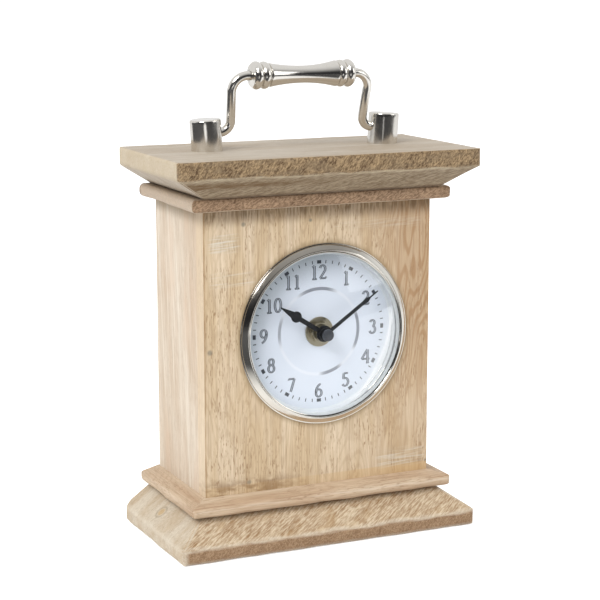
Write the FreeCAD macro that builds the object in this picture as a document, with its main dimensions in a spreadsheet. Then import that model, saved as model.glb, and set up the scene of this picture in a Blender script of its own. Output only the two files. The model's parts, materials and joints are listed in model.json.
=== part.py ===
import FreeCAD, Part
import math
import operator
import os

import Sketcher
from FreeCAD import Placement, Rotation, Vector

# A small bracket clock: a pale wooden case between bevelled boards, a round
# clock insert in its front and a nickel carrying handle on its cap.
# The front faces -Y, +X is on the right seen from the front and +Z is up.
# The origin is the middle of the underside. Lengths are in millimetres.

doc = FreeCAD.newDocument("bracket_clock")
dims = doc.addObject("Spreadsheet::Sheet", "dims")


class Size:
    """A length or angle that carries its number and its spreadsheet formula."""

    signs = {"+": operator.add, "-": operator.sub, "*": operator.mul, "/": operator.truediv}

    def __init__(self, number, formula=None):
        self.number = float(number)
        self.formula = formula if formula else repr(self.number)

    def joined(self, sign, other, swapped=False):
        other = sized(other)
        left, right = (other, self) if swapped else (self, other)
        number = Size.signs[sign](left.number, right.number)
        return Size(number, f"({left.formula} {sign} {right.formula})")

    def __add__(self, other):
        return self.joined("+", other)

    def __radd__(self, other):
        return self.joined("+", other, True)

    def __sub__(self, other):
        return self.joined("-", other)

    def __rsub__(self, other):
        return self.joined("-", other, True)

    def __mul__(self, other):
        return self.joined("*", other)

    def __rmul__(self, other):
        return self.joined("*", other, True)

    def __truediv__(self, other):
        return self.joined("/", other)

    def __neg__(self):
        return Size(-self.number, f"(-1 * {self.formula})")


def sized(item):
    return item if isinstance(item, Size) else Size(item)


def cell(alias, number):
    """Writes one driving dimension to the sheet and returns it as a Size."""
    cell.row += 1
    dims.set(f"A{cell.row}", alias.replace("_", " "))
    dims.set(f"B{cell.row}", str(number))
    dims.setAlias(f"B{cell.row}", alias)
    return Size(number, f"dims.{alias}")


cell.row = 0


# ---------------------------------------------------------------- dimensions

# boards and case
board_width = cell("board_width", 182.5)
board_depth = cell("board_depth", 94.5)
front_overhang = cell("front_overhang", 20.5)
base_thick = cell("base_thick", 22)
base_edge = cell("base_edge", 8.8)
base_bevel = cell("base_bevel", 18.3)
cap_thick = cell("cap_thick", 21.5)
cap_edge = cell("cap_edge", 9.6)
cap_side_bevel = cell("cap_side_bevel", 19.3)
cap_front_bevel = cell("cap_front_bevel", 11.9)
arris_round = cell("arris_round", 1.4)
corner_round = cell("corner_round", 4)
cap_corner_round = cell("cap_corner_round", 2.4)
cap_arris_round = cell("cap_arris_round", 1)
case_width = cell("case_width", 138.5)
case_depth = cell("case_depth", 72.5)
case_height = cell("case_height", 159.5)
front_thick = cell("front_thick", 10)
side_thick = cell("side_thick", 10)
back_thick = cell("back_thick", 4)
rebate_width = cell("rebate_width", 5)
fit_gap = cell("fit_gap", 0.25)
lower_mould_thick = cell("lower_mould_thick", 9)
lower_mould_nose = cell("lower_mould_nose", 6.3)
lower_mould_reach = cell("lower_mould_reach", 11)
lower_mould_front = cell("lower_mould_front", 9.6)
upper_mould_thick = cell("upper_mould_thick", 7.5)
upper_mould_reach = cell("upper_mould_reach", 9.2)
upper_mould_front = cell("upper_mould_front", 8.4)
rail_size = cell("rail_size", 14)
back_hole_radius = cell("back_hole_radius", 40)

# clock insert, measured forward from the wooden front
dial_shift = cell("dial_shift", 3)
dial_height = cell("dial_height", 117.4)
insert_hole_radius = cell("insert_hole_radius", 47)
flange_radius = cell("flange_radius", 51.5)
flange_thick = cell("flange_thick", 0.9)
sight_radius = cell("sight_radius", 46.2)
bezel_crown = cell("bezel_crown", 4.3)
glass_radius = cell("glass_radius", 47.1)
glass_thick = cell("glass_thick", 1.6)
glass_seat = cell("glass_seat", 0.9)
glass_rise = cell("glass_rise", 7.5)
cup_radius = cell("cup_radius", 46)
cup_wall = cell("cup_wall", 1)
cup_rim_radius = cell("cup_rim_radius", 49.4)
cup_rim_thick = cell("cup_rim_thick", 0.8)
dial_recess = cell("dial_recess", 6.75)
dial_thick = cell("dial_thick", 0.6)
cup_floor_thick = cell("cup_floor_thick", 1.2)
band_ribs = cell("band_ribs", 3)

# movement behind the dial
movement_size = cell("movement_size", 56)
movement_depth = cell("movement_depth", 16)
movement_wall = cell("movement_wall", 1.5)
movement_front_wall = cell("movement_front_wall", 1.2)
cover_thick = cell("cover_thick", 1.3)
damper_thick = cell("damper_thick", 0.5)
bay_height = cell("bay_height", 15.6)
battery_radius = cell("battery_radius", 7.1)
battery_length = cell("battery_length", 49.2)
bushing_radius = cell("bushing_radius", 3.9)
tube_radius = cell("tube_radius", 2.5)
arbor_radius = cell("arbor_radius", 1.7)
running_gap = cell("running_gap", 0.05)
hand_thick = cell("hand_thick", 0.5)
hour_hand_out = cell("hour_hand_out", 0.05)
minute_hand_out = cell("minute_hand_out", 2.1)
hour_hand_length = cell("hour_hand_length", 31.6)
minute_hand_length = cell("minute_hand_length", 39.2)
hour_hand_angle = cell("hour_hand_angle", 302.5)
minute_hand_angle = cell("minute_hand_angle", 55.5)

# handle
post_radius = cell("post_radius", 8.7)
post_height = cell("post_height", 17.5)
post_spread = cell("post_spread", 54.2)
post_place = cell("post_place", 3.6)
post_lean = cell("post_lean", 3.5)
hinge_height = cell("hinge_height", 9.75)
wire_radius = cell("wire_radius", 2.5)
bail_height = cell("bail_height", 32)
bail_tilt = cell("bail_tilt", 13)
leg_lean = cell("leg_lean", 3.2)
lower_bend = cell("lower_bend", 4.8)
upper_bend = cell("upper_bend", 7.5)
leg_place = cell("leg_place", 40.6)
grip_half = cell("grip_half", 30.7)
grip_waist = cell("grip_waist", 4.85)
grip_bead = cell("grip_bead", 7.7)

doc.recompute()

# places worked out from the driving dimensions
wood_front = front_overhang - board_depth / 2
case_back = wood_front + case_depth
board_back = board_depth / 2
case_bottom = base_thick + lower_mould_thick
case_top = case_bottom + case_height
cap_bottom = case_top + upper_mould_thick
cap_top = cap_bottom + cap_thick
case_half = case_width / 2
inner_half = case_half - side_thick
dial_face = wood_front + dial_recess
cup_back = dial_face + dial_thick + cup_floor_thick
movement_front = cup_back + damper_thick
movement_back = movement_front + movement_depth
hinge_z = cap_top + hinge_height


# ------------------------------------------------------------------- helpers

def bind(item, path, size):
    """Ties one property to the sheet."""
    item.setExpression(path, sized(size).formula)


def place(item, x=0, y=0, z=0, turn=None):
    """Places an object at sheet-driven coordinates, after an optional turn."""
    spot = [sized(x), sized(y), sized(z)]
    turn = turn or Rotation()
    item.Placement = Placement(Vector(*[part.number for part in spot]), turn)
    for axis, part in zip("xyz", spot):
        if part.number or part.formula.count("dims."):
            bind(item, f"Placement.Base.{axis}", part)
    return item


def named(item, label):
    item.Label = label
    return item


def origin_plane(body, role):
    return [part for part in body.Origin.OriginFeatures if part.Role == role][0]


def new_sketch(body, name, role, lift=0):
    sketch = body.newObject("Sketcher::SketchObject", name)
    sketch.AttachmentSupport = (origin_plane(body, role), "")
    sketch.MapMode = "FlatFace"
    if sized(lift).number:
        sketch.AttachmentOffset = Placement(Vector(0, 0, sized(lift).number), Rotation())
        bind(sketch, "AttachmentOffset.Base.z", lift)
    return sketch


def pin_point(sketch, edge, end, u, v):
    """Holds an edge's end at sheet-driven sketch coordinates."""
    for kind, size, axis in (("DistanceX", sized(u), -2), ("DistanceY", sized(v), -1)):
        if size.number == 0:
            sketch.addConstraint(Sketcher.Constraint("PointOnObject", edge, end, axis))
        else:
            held = sketch.addConstraint(Sketcher.Constraint(kind, -1, 1, edge, end, size.number))
            bind(sketch, f"Constraints[{held}]", size)


def minor_arc(start, end, radius):
    """The arc of under a half turn; a negative radius bulges to the travel's right."""
    chord = end - start
    middle = (start + end) / 2
    aside = Vector(-chord.y, chord.x, 0).normalize()
    depth = math.sqrt(max(radius * radius - chord.Length ** 2 / 4, 0))
    centre = middle - aside * math.copysign(depth, radius)
    angles = [math.atan2(point.y - centre.y, point.x - centre.x) for point in (start, end)]
    if radius > 0:
        angles.reverse()
    circle = Part.Circle(centre, Vector(0, 0, 1), abs(radius))
    return Part.ArcOfCircle(circle, *angles)


def draw_outline(sketch, corners):
    """Draws a closed outline. A corner is (u, v), or (u, v, radius) before an arc."""
    spots = [Vector(sized(c[0]).number, sized(c[1]).number, 0) for c in corners]
    ends = []
    for index, corner in enumerate(corners):
        start, end = spots[index], spots[(index + 1) % len(spots)]
        if len(corner) == 3:
            bend = sized(corner[2])
            edge = sketch.addGeometry(minor_arc(start, end, bend.number))
            ends.append((edge, 2, 1) if bend.number > 0 else (edge, 1, 2))
        else:
            edge = sketch.addGeometry(Part.LineSegment(start, end))
            ends.append((edge, 1, 2))
    for index, corner in enumerate(corners):
        edge, start, end = ends[index]
        after = ends[(index + 1) % len(ends)]
        sketch.addConstraint(Sketcher.Constraint("Coincident", edge, end, after[0], after[1]))
        pin_point(sketch, edge, start, corner[0], corner[1])
        if len(corner) == 3:
            bend = sized(corner[2])
            held = sketch.addConstraint(Sketcher.Constraint("Radius", edge, abs(bend.number)))
            bind(sketch, f"Constraints[{held}]", bend if bend.number > 0 else -bend)


def draw_circle(sketch, u, v, radius):
    centre = Vector(sized(u).number, sized(v).number, 0)
    edge = sketch.addGeometry(Part.Circle(centre, Vector(0, 0, 1), sized(radius).number))
    held = sketch.addConstraint(Sketcher.Constraint("Radius", edge, sized(radius).number))
    bind(sketch, f"Constraints[{held}]", radius)
    pin_point(sketch, edge, 3, u, v)


def rectangle(left, right, low, high):
    return [(left, low), (right, low), (right, high), (left, high)]


def new_body(name):
    return doc.addObject("PartDesign::Body", name)


def padded(body, sketch, length, backwards=False):
    pad = body.newObject("PartDesign::Pad", sketch.Name + "_pad")
    pad.Profile = sketch
    pad.Length = sized(length).number
    pad.Reversed = backwards
    bind(pad, "Length", length)
    sketch.Visibility = False
    return pad


def slab(name, corners, length, role="XY_Plane", backwards=False, holes=()):
    """A body that is one outline, with round holes, pushed to a thickness."""
    body = new_body(name)
    sketch = new_sketch(body, name + "_outline", role)
    draw_outline(sketch, corners)
    for u, v, radius in holes:
        draw_circle(sketch, u, v, radius)
    padded(body, sketch, length, backwards)
    return body


def turned(name, corners, role="XY_Plane", axis="V_Axis"):
    """A body turned from a half outline about an axis of its sketch."""
    body = new_body(name)
    sketch = new_sketch(body, name + "_outline", role)
    draw_outline(sketch, corners)
    spin = body.newObject("PartDesign::Revolution", name + "_turn")
    spin.Profile = sketch
    spin.ReferenceAxis = (sketch, [axis])
    spin.Angle = 360
    return body


def lofted(body, name, lower, upper, low, high):
    """Adds a straight-sided block between two rectangles at two heights."""
    sketches = []
    for tag, corners, height in (("low", lower, low), ("high", upper, high)):
        sketch = new_sketch(body, f"{name}_{tag}", "XY_Plane", height)
        draw_outline(sketch, corners)
        sketches.append(sketch)
    loft = body.newObject("PartDesign::AdditiveLoft", name + "_bevel")
    loft.Profile = sketches[0]
    loft.Sections = [sketches[1]]
    loft.Ruled = True
    return loft


def rounded(body, name, radius, chosen):
    """Rounds the edges of the body's tip that a test picks out."""
    doc.recompute()
    tip = body.Tip
    picked = [f"Edge{number}" for number, edge in enumerate(tip.Shape.Edges, 1) if chosen(edge)]
    fillet = body.newObject("PartDesign::Fillet", name)
    fillet.Base = (tip, picked)
    fillet.Radius = sized(radius).number
    bind(fillet, "Radius", radius)
    doc.recompute()
    return body


def upright(edge):
    box = edge.BoundBox
    return box.XLength < 0.01 and box.YLength < 0.01


def round_bar(name, radius, length, x=0, y=0, z=0, along="Z"):
    """A plain cylinder that starts at a point and runs along +X, +Y or +Z."""
    turns = {"X": Rotation(Vector(0, 1, 0), 90), "Y": Rotation(Vector(1, 0, 0), -90), "Z": None}
    bar = doc.addObject("Part::Cylinder", name)
    bar.Radius = sized(radius).number
    bar.Height = sized(length).number
    bind(bar, "Radius", radius)
    bind(bar, "Height", length)
    return place(bar, x, y, z, turns[along])


def block(name, length, width, height, x=0, y=0, z=0, turn=None):
    box = doc.addObject("Part::Box", name)
    for path, size in (("Length", length), ("Width", width), ("Height", height)):
        setattr(box, path, sized(size).number)
        bind(box, path, size)
    return place(box, x, y, z, turn)


def fused(name, parts):
    whole = doc.addObject("Part::MultiFuse", name)
    whole.Shapes = parts
    whole.Refine = True
    return whole


def grouped(name, parts):
    """Separate solids that share one node."""
    group = doc.addObject("Part::Compound", name)
    group.Links = parts
    return group


def cut(name, base, tools):
    """The base with every tool taken away."""
    result = doc.addObject("Part::Cut", name)
    result.Base = base
    result.Tool = tools[0] if len(tools) == 1 else grouped(name + "_tools", tools)
    return result


finished = {}


def finish(label, item):
    """Marks an object as one finished piece of the clock."""
    finished[label] = named(item, label)
    return item


# ---------------------------------------------------------------- the boards

screw_x = case_half - side_thick / 2
screw_y = (wood_front + case_back) / 2
screw_step = Size(14)
four_ways = [(side, end) for side in (-1, 1) for end in (-1, 1)]
corner_screws = [(side * screw_x, screw_y + end * screw_step) for side, end in four_ways]
cap_screw_spots = [(side * Size(28), screw_y + end * screw_step) for side, end in four_ways]
post_screw_x = post_spread + 0.2
screw_seat = cap_bottom + 9
post_screw_reach = cap_top - screw_seat + 6


def countersunk(name, head, shank, length, x, y, z, along="Z", grow=0.0):
    """A countersunk screw, or its hole, that points along +Z, -Z or -Y from its head."""
    turn = {"Z": Rotation(), "-Z": Rotation(Vector(1, 0, 0), 180),
            "-Y": Rotation(Vector(1, 0, 0), 90)}[along]
    cone = doc.addObject("Part::Cone", name + "_head")
    cone.Radius1 = head + grow
    cone.Radius2 = shank + grow
    cone.Height = head - shank
    bar = doc.addObject("Part::Cylinder", name + "_shank")
    bar.Radius = shank + grow
    bar.Height = length - head - shank
    point = doc.addObject("Part::Cone", name + "_point")
    point.Radius1 = shank + grow
    point.Radius2 = 0.3
    point.Height = 2 * shank
    ahead = turn.multVec(Vector(0, 0, 1))
    for part, step in ((cone, 0.0), (bar, head - shank), (point, length - 2 * shank)):
        shift = ahead * step
        place(part, x + shift.x, y + shift.y, z + shift.z, turn)
    return fused(name, [cone, bar, point])


def base_board():
    left, right = -board_width / 2, board_width / 2
    front, back = -board_depth / 2, board_back
    body = slab("base_board_body", rectangle(left, right, front, back), base_edge)
    lower = rectangle(left, right, front, back)
    upper = rectangle(left + base_bevel, right - base_bevel, front + base_bevel, back)
    lofted(body, "base_board", lower, upper, base_edge, base_thick)
    rounded(body, "base_board_corners", corner_round, corner_edge)
    rounded(body, "base_board_arris", arris_round, arris_at(base_edge.number))
    rounded(body, "base_board_foot", arris_round, arris_at(0.0))
    holes = [countersunk(f"base_hole_{n}", 5.2, 2.4, 60, x, y, Size(0), "Z", 0.45)
             for n, (x, y) in enumerate(corner_screws)]
    return finish("base_board", cut("base_board_cut", body, holes))


def corner_edge(edge):
    """An upright edge at a front corner of a full-width board."""
    box = edge.BoundBox
    at_front = abs(box.YMin + board_depth.number / 2) < 0.1
    return upright(edge) and at_front


def arris_at(height):
    """The front and side edges of a full-width board at one height."""
    def chosen(edge):
        box = edge.BoundBox
        level = box.ZLength < 0.01 and abs(box.ZMin - height) < 0.01
        at_back = abs(box.YMin - board_back.number) < 0.1
        outer = max(abs(box.XMin), abs(box.XMax)) > board_width.number / 2 - 5
        return level and outer and not at_back
    return chosen


def bottom_moulding():
    reach, front = lower_mould_reach, lower_mould_front
    nose = rectangle(-case_half - reach, case_half + reach, wood_front - front, board_back)
    body = slab("bottom_moulding_body", nose, lower_mould_nose)
    top = rectangle(-case_half - 0.4, case_half + 0.4, wood_front - 0.4, board_back)
    lofted(body, "bottom_moulding", nose, top, lower_mould_nose, lower_mould_thick)
    place(body, 0, 0, base_thick)
    rounded(body, "bottom_moulding_nose", 1.3, moulding_edges(lower_mould_nose, nose))
    rounded(body, "bottom_moulding_foot", 1.8, moulding_edges(Size(0), nose))
    holes = [round_bar(f"bottom_moulding_hole_{n}", 2.6, lower_mould_thick, x, y, base_thick)
             for n, (x, y) in enumerate(corner_screws)]
    return finish("bottom_moulding", cut("bottom_moulding_cut", body, holes))


def moulding_edges(height, outline):
    """The front and side edges of a moulding board at one of its own heights."""
    left, front = outline[0][0].number, outline[0][1].number

    def chosen(edge):
        box = edge.BoundBox
        level = box.ZLength < 0.01 and abs(box.ZMin - height.number) < 0.01
        at_front = abs(box.YMin - front) < 0.01 and box.YLength < 0.01
        at_side = abs(abs(box.XMin) - abs(left)) < 0.01 and box.XLength < 0.01
        return level and (at_front or at_side)
    return chosen


def top_moulding():
    reach, front = upper_mould_reach, upper_mould_front
    nose = rectangle(-case_half - reach, case_half + reach, wood_front - front, board_back)
    body = slab("top_moulding_body", nose, upper_mould_thick)
    place(body, 0, 0, case_top)
    rounded(body, "top_moulding_under", 3, moulding_edges(Size(0), nose))
    rounded(body, "top_moulding_over", 3, moulding_edges(upper_mould_thick, nose))
    holes = [countersunk(f"top_moulding_hole_{n}", 4.6, 2.2, 30, x, y, cap_bottom, "-Z", 0.2)
             for n, (x, y) in enumerate(corner_screws)]
    holes += [countersunk(f"cap_hole_{n}", 4.6, 2.2, 20, x, y, case_top, "Z", 0.2)
              for n, (x, y) in enumerate(cap_screw_spots)]
    return finish("top_moulding", cut("top_moulding_cut", body, holes))


def cap_board():
    left, right = -board_width / 2, board_width / 2
    front, back = -board_depth / 2, board_back
    body = slab("cap_board_body", rectangle(left, right, front, back), cap_edge)
    place(body, 0, 0, cap_top - cap_edge)
    lower = rectangle(left + cap_side_bevel, right - cap_side_bevel, front + cap_front_bevel, back)
    upper = rectangle(left, right, front, back)
    lofted(body, "cap_board", lower, upper, cap_edge - cap_thick, Size(0))
    rounded(body, "cap_board_corners", cap_corner_round, corner_edge)
    rounded(body, "cap_board_arris", cap_arris_round, arris_at(0.0))
    rounded(body, "cap_board_top", arris_round, arris_at(cap_edge.number))
    holes = []
    for side in (-1, 1):
        x = side * post_screw_x
        bore = round_bar(f"cap_post_bore_{side}", 2.7, cap_thick + 2, x, post_place, cap_bottom - 1)
        sink = round_bar(f"cap_post_sink_{side}", 5, 10, x, post_place, cap_bottom - 1)
        holes.append(fused(f"cap_post_hole_{side}", [bore, sink]))
    return finish("cap_board", cut("cap_board_cut", body, holes))


# ------------------------------------------------------------------ the case

def side_board(name, side):
    """A side board, rebated along its back edge for the back board."""
    outer, inner = case_half, inner_half
    front = wood_front + front_thick
    shelf = case_back - back_thick
    corners = [(outer, front), (outer, case_back), (outer - rebate_width, case_back),
               (outer - rebate_width, shelf), (inner, shelf), (inner, front)]
    if side < 0:
        corners = [(-u, v) for u, v in reversed(corners)]
    body = slab(name, corners, case_height)
    return finish(name, place(body, 0, 0, case_bottom))


def front_board():
    outline = rectangle(-case_half, case_half, case_bottom, case_top)
    hole = (dial_shift, dial_height, insert_hole_radius)
    body = slab("front_board", outline, front_thick, "XZ_Plane", holes=[hole])
    return finish("front_board", place(body, 0, wood_front + front_thick, 0))


def back_board():
    half = case_half - rebate_width - fit_gap
    outline = rectangle(-half, half, case_bottom + fit_gap, case_top - fit_gap)
    hole = (Size(0), dial_height, back_hole_radius)
    body = slab("back_board_body", outline, back_thick, "XZ_Plane", holes=[hole])
    place(body, 0, case_back, 0)
    sinks = [countersunk(f"back_hole_{n}", 3.1, 1.45, 14, x, case_back, z, "-Y", 0.15)
             for n, (x, z) in enumerate(back_screw_spots)]
    return finish("back_board", cut("back_board_cut", body, sinks))


back_screw_x = case_half - rebate_width - 2.6
back_screw_spots = [(side * back_screw_x, case_bottom + rise)
                    for side in (-1, 1) for rise in (Size(14), case_height / 2, case_height - 14)]


def top_rail():
    """The batten behind the front board that the upper pins go into."""
    rail = block("top_rail", 2 * inner_half, rail_size, rail_size,
                 -inner_half, wood_front + front_thick, case_top - rail_size)
    return finish("top_rail", rail)


# ----------------------------------------------------------------- fasteners

def screws(label, spots, head, shank, length, along="Z"):
    made = [countersunk(f"{label}_{n}", head, shank, length, *spot, along)
            for n, spot in enumerate(spots)]
    return finish(label, grouped(label, made))


def panel_pins():
    """Round pins that hold the front board to the sides and the top rail."""
    sides = [(side * Size(65.8), case_bottom + rise) for side in (-1, 1) for rise in (22, 81.7, 131)]
    upper = [(x, case_top - 8.5) for x in (-45.7, -5.5, 36.5)]
    pins = []
    for number, (x, z) in enumerate(sides + upper):
        pins.append(round_bar(f"pin_{number}", 0.8, 22, x, wood_front + 0.05, z, "Y"))
    return finish("front_board_pins", grouped("front_board_pins", pins))


def wood_screws():
    screws("base_screws", [(x, y, Size(0.3)) for x, y in corner_screws], 5.2, 2.4, 48)
    screws("top_moulding_screws", [(x, y, cap_bottom - 0.1) for x, y in corner_screws],
           4.6, 2.2, 30, "-Z")
    screws("cap_screws", [(x, y, case_top + 0.1) for x, y in cap_screw_spots], 4.6, 2.2, 20)
    screws("back_board_screws", [(x, case_back - 0.1, z) for x, z in back_screw_spots],
           3.1, 1.45, 14, "-Y")


def handle_screws():
    """Pan-head screws that come up through the cap into the posts."""
    made = []
    for side in (-1, 1):
        x = side * post_screw_x
        head = round_bar(f"handle_screw_head_{side}", 4.4, 3, x, post_place, screw_seat - 3)
        shank = round_bar(f"handle_screw_shank_{side}", 2.4, post_screw_reach,
                          x, post_place, screw_seat)
        made.append(fused(f"handle_screw_{side}", [head, shank]))
    return finish("handle_screws", grouped("handle_screws", made))


# ---------------------------------------------------------- the clock insert

# Outlines here are (radius, distance behind the wooden front).

def on_dial_axis(item, y):
    return place(item, dial_shift, y, dial_height)


def bezel():
    """The nickel ring: a thin flange, a half-round crown and a lip over the glass."""
    lip = glass_seat + glass_thick
    crown_foot = flange_radius - 0.8
    corners = [(crown_foot, -flange_thick, 2.75), (sight_radius, -lip - 0.5),
               (sight_radius, -lip), (glass_radius + 0.1, -lip), (glass_radius + 0.1, -glass_seat),
               (cup_rim_radius + 0.1, -glass_seat), (cup_rim_radius + 0.1, 0),
               (flange_radius, 0), (flange_radius, -flange_thick)]
    return finish("bezel", on_dial_axis(turned("bezel", corners), wood_front))


def crystal():
    """The domed glass."""
    flat = sight_radius - 0.2
    dome = (flat * flat + glass_rise * glass_rise) / (2 * glass_rise)
    front, back = -glass_seat - glass_thick, -glass_seat
    corners = [(0, front - glass_rise, -dome), (flat, front), (glass_radius, front),
               (glass_radius, back), (flat, back, dome), (0, back - glass_rise)]
    return finish("crystal", on_dial_axis(turned("crystal", corners), wood_front))


def insert_cup():
    """The cup that drops into the front board and carries the dial."""
    floor = dial_recess + dial_thick
    inner = cup_radius - cup_wall
    hole = bushing_radius + 0.1
    corners = [(inner, -cup_rim_thick), (cup_rim_radius, -cup_rim_thick), (cup_rim_radius, 0),
               (cup_radius, 0), (cup_radius, floor + cup_floor_thick),
               (hole, floor + cup_floor_thick), (hole, floor), (inner, floor)]
    return finish("insert_cup", on_dial_axis(turned("insert_cup", corners), wood_front))


def insert_band():
    """The ribbed rubber band that grips the hole in the front board."""
    inner, root, crest = cup_radius, cup_radius + 0.4, insert_hole_radius - 0.05
    pitch = 2.2
    start = 0.8
    corners = [(inner, start), (root, start)]
    for rib in range(int(band_ribs.number)):
        step = start + pitch * rib
        corners += [(root, step + 0.4), (crest, step + 0.9), (crest, step + 1.3), (root, step + 1.8)]
    end = start + pitch * band_ribs.number
    corners += [(root, end), (inner, end)]
    band = turned("insert_band", list(reversed(corners)))
    return finish("insert_band", on_dial_axis(band, wood_front))


def ring(name, inner, outer, thick, y):
    corners = [(inner, 0), (outer, 0), (outer, thick), (inner, thick)]
    return finish(name, on_dial_axis(turned(name, corners), y))


def dial_fittings():
    ring("dial_plate", bushing_radius + 0.1, cup_radius - cup_wall - 0.1, dial_thick, dial_face)
    ring("rubber_washer", bushing_radius + 0.1, 9, damper_thick, cup_back)
    ring("fixing_washer", bushing_radius + 0.15, 8.5, washer_thick, dial_face - washer_thick)
    ring("mounting_bushing", tube_radius + running_gap, bushing_radius,
         movement_front + movement_front_wall - bushing_tip, bushing_tip)
    nut = doc.addObject("Part::Prism", "nut_blank")
    nut.Polygon = 6
    nut.Circumradius = 6.1
    nut.Height = nut_thick
    place(nut, dial_shift, dial_face - washer_thick, dial_height, Rotation(Vector(1, 0, 0), 90))
    dome = turned("nut_rounding", [(0, 0), (7, 0), (7, -nut_thick + 1.1),
                                   (5, -nut_thick), (0, -nut_thick)])
    on_dial_axis(dome, dial_face - washer_thick)
    chamfered = doc.addObject("Part::Common", "nut_chamfered")
    chamfered.Base = nut
    chamfered.Tool = dome
    bore = round_bar("nut_bore", bushing_radius + 0.02, nut_thick + 2,
                     dial_shift, dial_face - washer_thick - nut_thick - 1, dial_height, "Y")
    finish("fixing_nut", cut("nut_cut", chamfered, [bore]))


washer_thick = 0.85
nut_thick = 2.3
bushing_tip = dial_face - washer_thick - nut_thick - 0.7


# ---------------------------------------------------------------- the hands

def hand(name, arm, discs, bore, y, angle):
    """A flat hand: an arm outline, round discs along it and a bore at its axis."""
    parts = [slab(name + "_arm", arm, hand_thick, "XZ_Plane")]
    for number, (height, radius) in enumerate(discs):
        parts.append(round_bar(f"{name}_disc_{number}", radius, hand_thick,
                               0, -hand_thick, height, "Y"))
    hole = round_bar(name + "_bore", bore, 3, 0, -2, 0, "Y")
    shape = cut(name + "_cut", fused(name + "_blank", parts), [hole])
    place(shape, dial_shift, y, dial_height, Rotation(Vector(0, 1, 0), angle.number))
    bind(shape, "Placement.Rotation.Angle", angle)
    return finish(name, shape)


def hands():
    tip = hour_hand_length
    hour_arm = [(-1.35, 0), (1.35, 0), (1.35, 19), (1.9, 23), (0.25, tip),
                (-0.25, tip), (-1.9, 23), (-1.35, 19)]
    hand("hour_hand", hour_arm, [(0, 4.7), (20.4, 3.15)], tube_radius,
         wood_front - hour_hand_out, hour_hand_angle)
    tip = minute_hand_length
    minute_arm = [(-1.05, 0), (1.05, 0), (0.95, tip - 11), (1.4, tip - 8.2), (0.38, tip - 5.6),
                  (0.3, tip), (-0.3, tip), (-0.38, tip - 5.6), (-1.4, tip - 8.2), (-0.95, tip - 11)]
    hand("minute_hand", minute_arm, [(0, 3.9)], arbor_radius,
         wood_front - minute_hand_out, minute_hand_angle)
    back = -minute_hand_out - hand_thick
    cap = [(0, back - 1.75), (arbor_radius, back - 1.75), (arbor_radius, back), (3.3, back),
           (3.3, back - 3.1), (2.7, back - 3.7), (0, back - 3.7)]
    finish("hand_cap", on_dial_axis(turned("hand_cap", cap), wood_front))


# ------------------------------------------------------------- the movement

pressure_angle = math.radians(20)
minute_pinion_teeth, reverser_teeth = 12, 36
reverser_pinion_teeth, hour_wheel_teeth = 10, 40
knob_teeth = 24
axle_distance = 10.0
fast_module = 2 * axle_distance / (minute_pinion_teeth + reverser_teeth)
slow_module = 2 * axle_distance / (reverser_pinion_teeth + hour_wheel_teeth)
reverser_direction = 60.0
knob_direction = 10.0
tooth_thinning = 0.05


def roll(radius, base):
    """The involute angle at a radius, for a base circle."""
    slope = math.acos(min(base / radius, 1))
    return math.tan(slope) - slope


def gear_blank(teeth, module, phase, y, thick):
    """A spur gear about Y at the origin, with one tooth centred at phase degrees."""
    pitch = teeth * module / 2
    base = pitch * math.cos(pressure_angle)
    root, tip = pitch - 1.15 * module, pitch + 0.85 * module
    half = math.pi / (2 * teeth) - tooth_thinning / pitch
    foot = max(root, base)
    middle = (foot + tip) / 2

    def spread(radius):
        return half + roll(pitch, base) - roll(max(radius, base), base)

    def spot(radius, angle):
        return Vector(radius * math.cos(angle), y, radius * math.sin(angle))

    edges = []
    for tooth in range(teeth):
        centre = math.radians(phase) + 2 * math.pi * tooth / teeth
        after = centre + 2 * math.pi / teeth
        rise = [spot(radius, centre - spread(radius)) for radius in (foot, middle, tip)]
        fall = [spot(radius, centre + spread(radius)) for radius in (tip, middle, foot)]
        floor = [spot(root, centre - spread(root)), spot(root, centre + spread(root)),
                 spot(root, after - spread(root))]
        if foot > root:
            edges.append(Part.makeLine(floor[0], rise[0]))
        edges.append(Part.Arc(*rise).toShape())
        edges.append(Part.makeLine(rise[2], fall[0]))
        edges.append(Part.Arc(*fall).toShape())
        if foot > root:
            edges.append(Part.makeLine(fall[2], floor[1]))
        edges.append(Part.makeLine(floor[1], floor[2]))
    face = Part.Face(Part.Wire(edges))
    return face.extrude(Vector(0, thick, 0))


def meshing_phase(phase, teeth, other_teeth, direction):
    """The phase of a second gear, in that direction, whose gap meets the first one's tooth."""
    ahead = (phase - direction) % (360 / teeth)
    return direction + 180 - ahead * teeth / other_teeth + 180 / other_teeth


def bar_about(radius, y, length):
    """A plain round along Y at the origin."""
    return Part.makeCylinder(sized(radius).number, length, Vector(0, y, 0), Vector(0, 1, 0))


def wheel(name, solids, bores, offset):
    """A finished gear piece: solids joined, bores taken away, set on its own axle."""
    shape = solids[0].fuse(solids[1:]) if len(solids) > 1 else solids[0]
    if bores:
        shape = shape.cut(bores)
    piece = doc.addObject("Part::Feature", name)
    piece.Shape = shape.removeSplitter()
    spot = Vector(dial_shift.number + offset[0], 0, dial_height.number + offset[1])
    piece.Placement = Placement(spot, Rotation())
    return finish(name, piece)


def polar(distance, degrees):
    angle = math.radians(degrees)
    return distance * math.cos(angle), distance * math.sin(angle)


reverser_spot = polar(axle_distance, reverser_direction)
knob_step = polar(fast_module * (reverser_teeth + knob_teeth) / 2, knob_direction)
knob_spot = (reverser_spot[0] + knob_step[0], reverser_spot[1] + knob_step[1])


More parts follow.
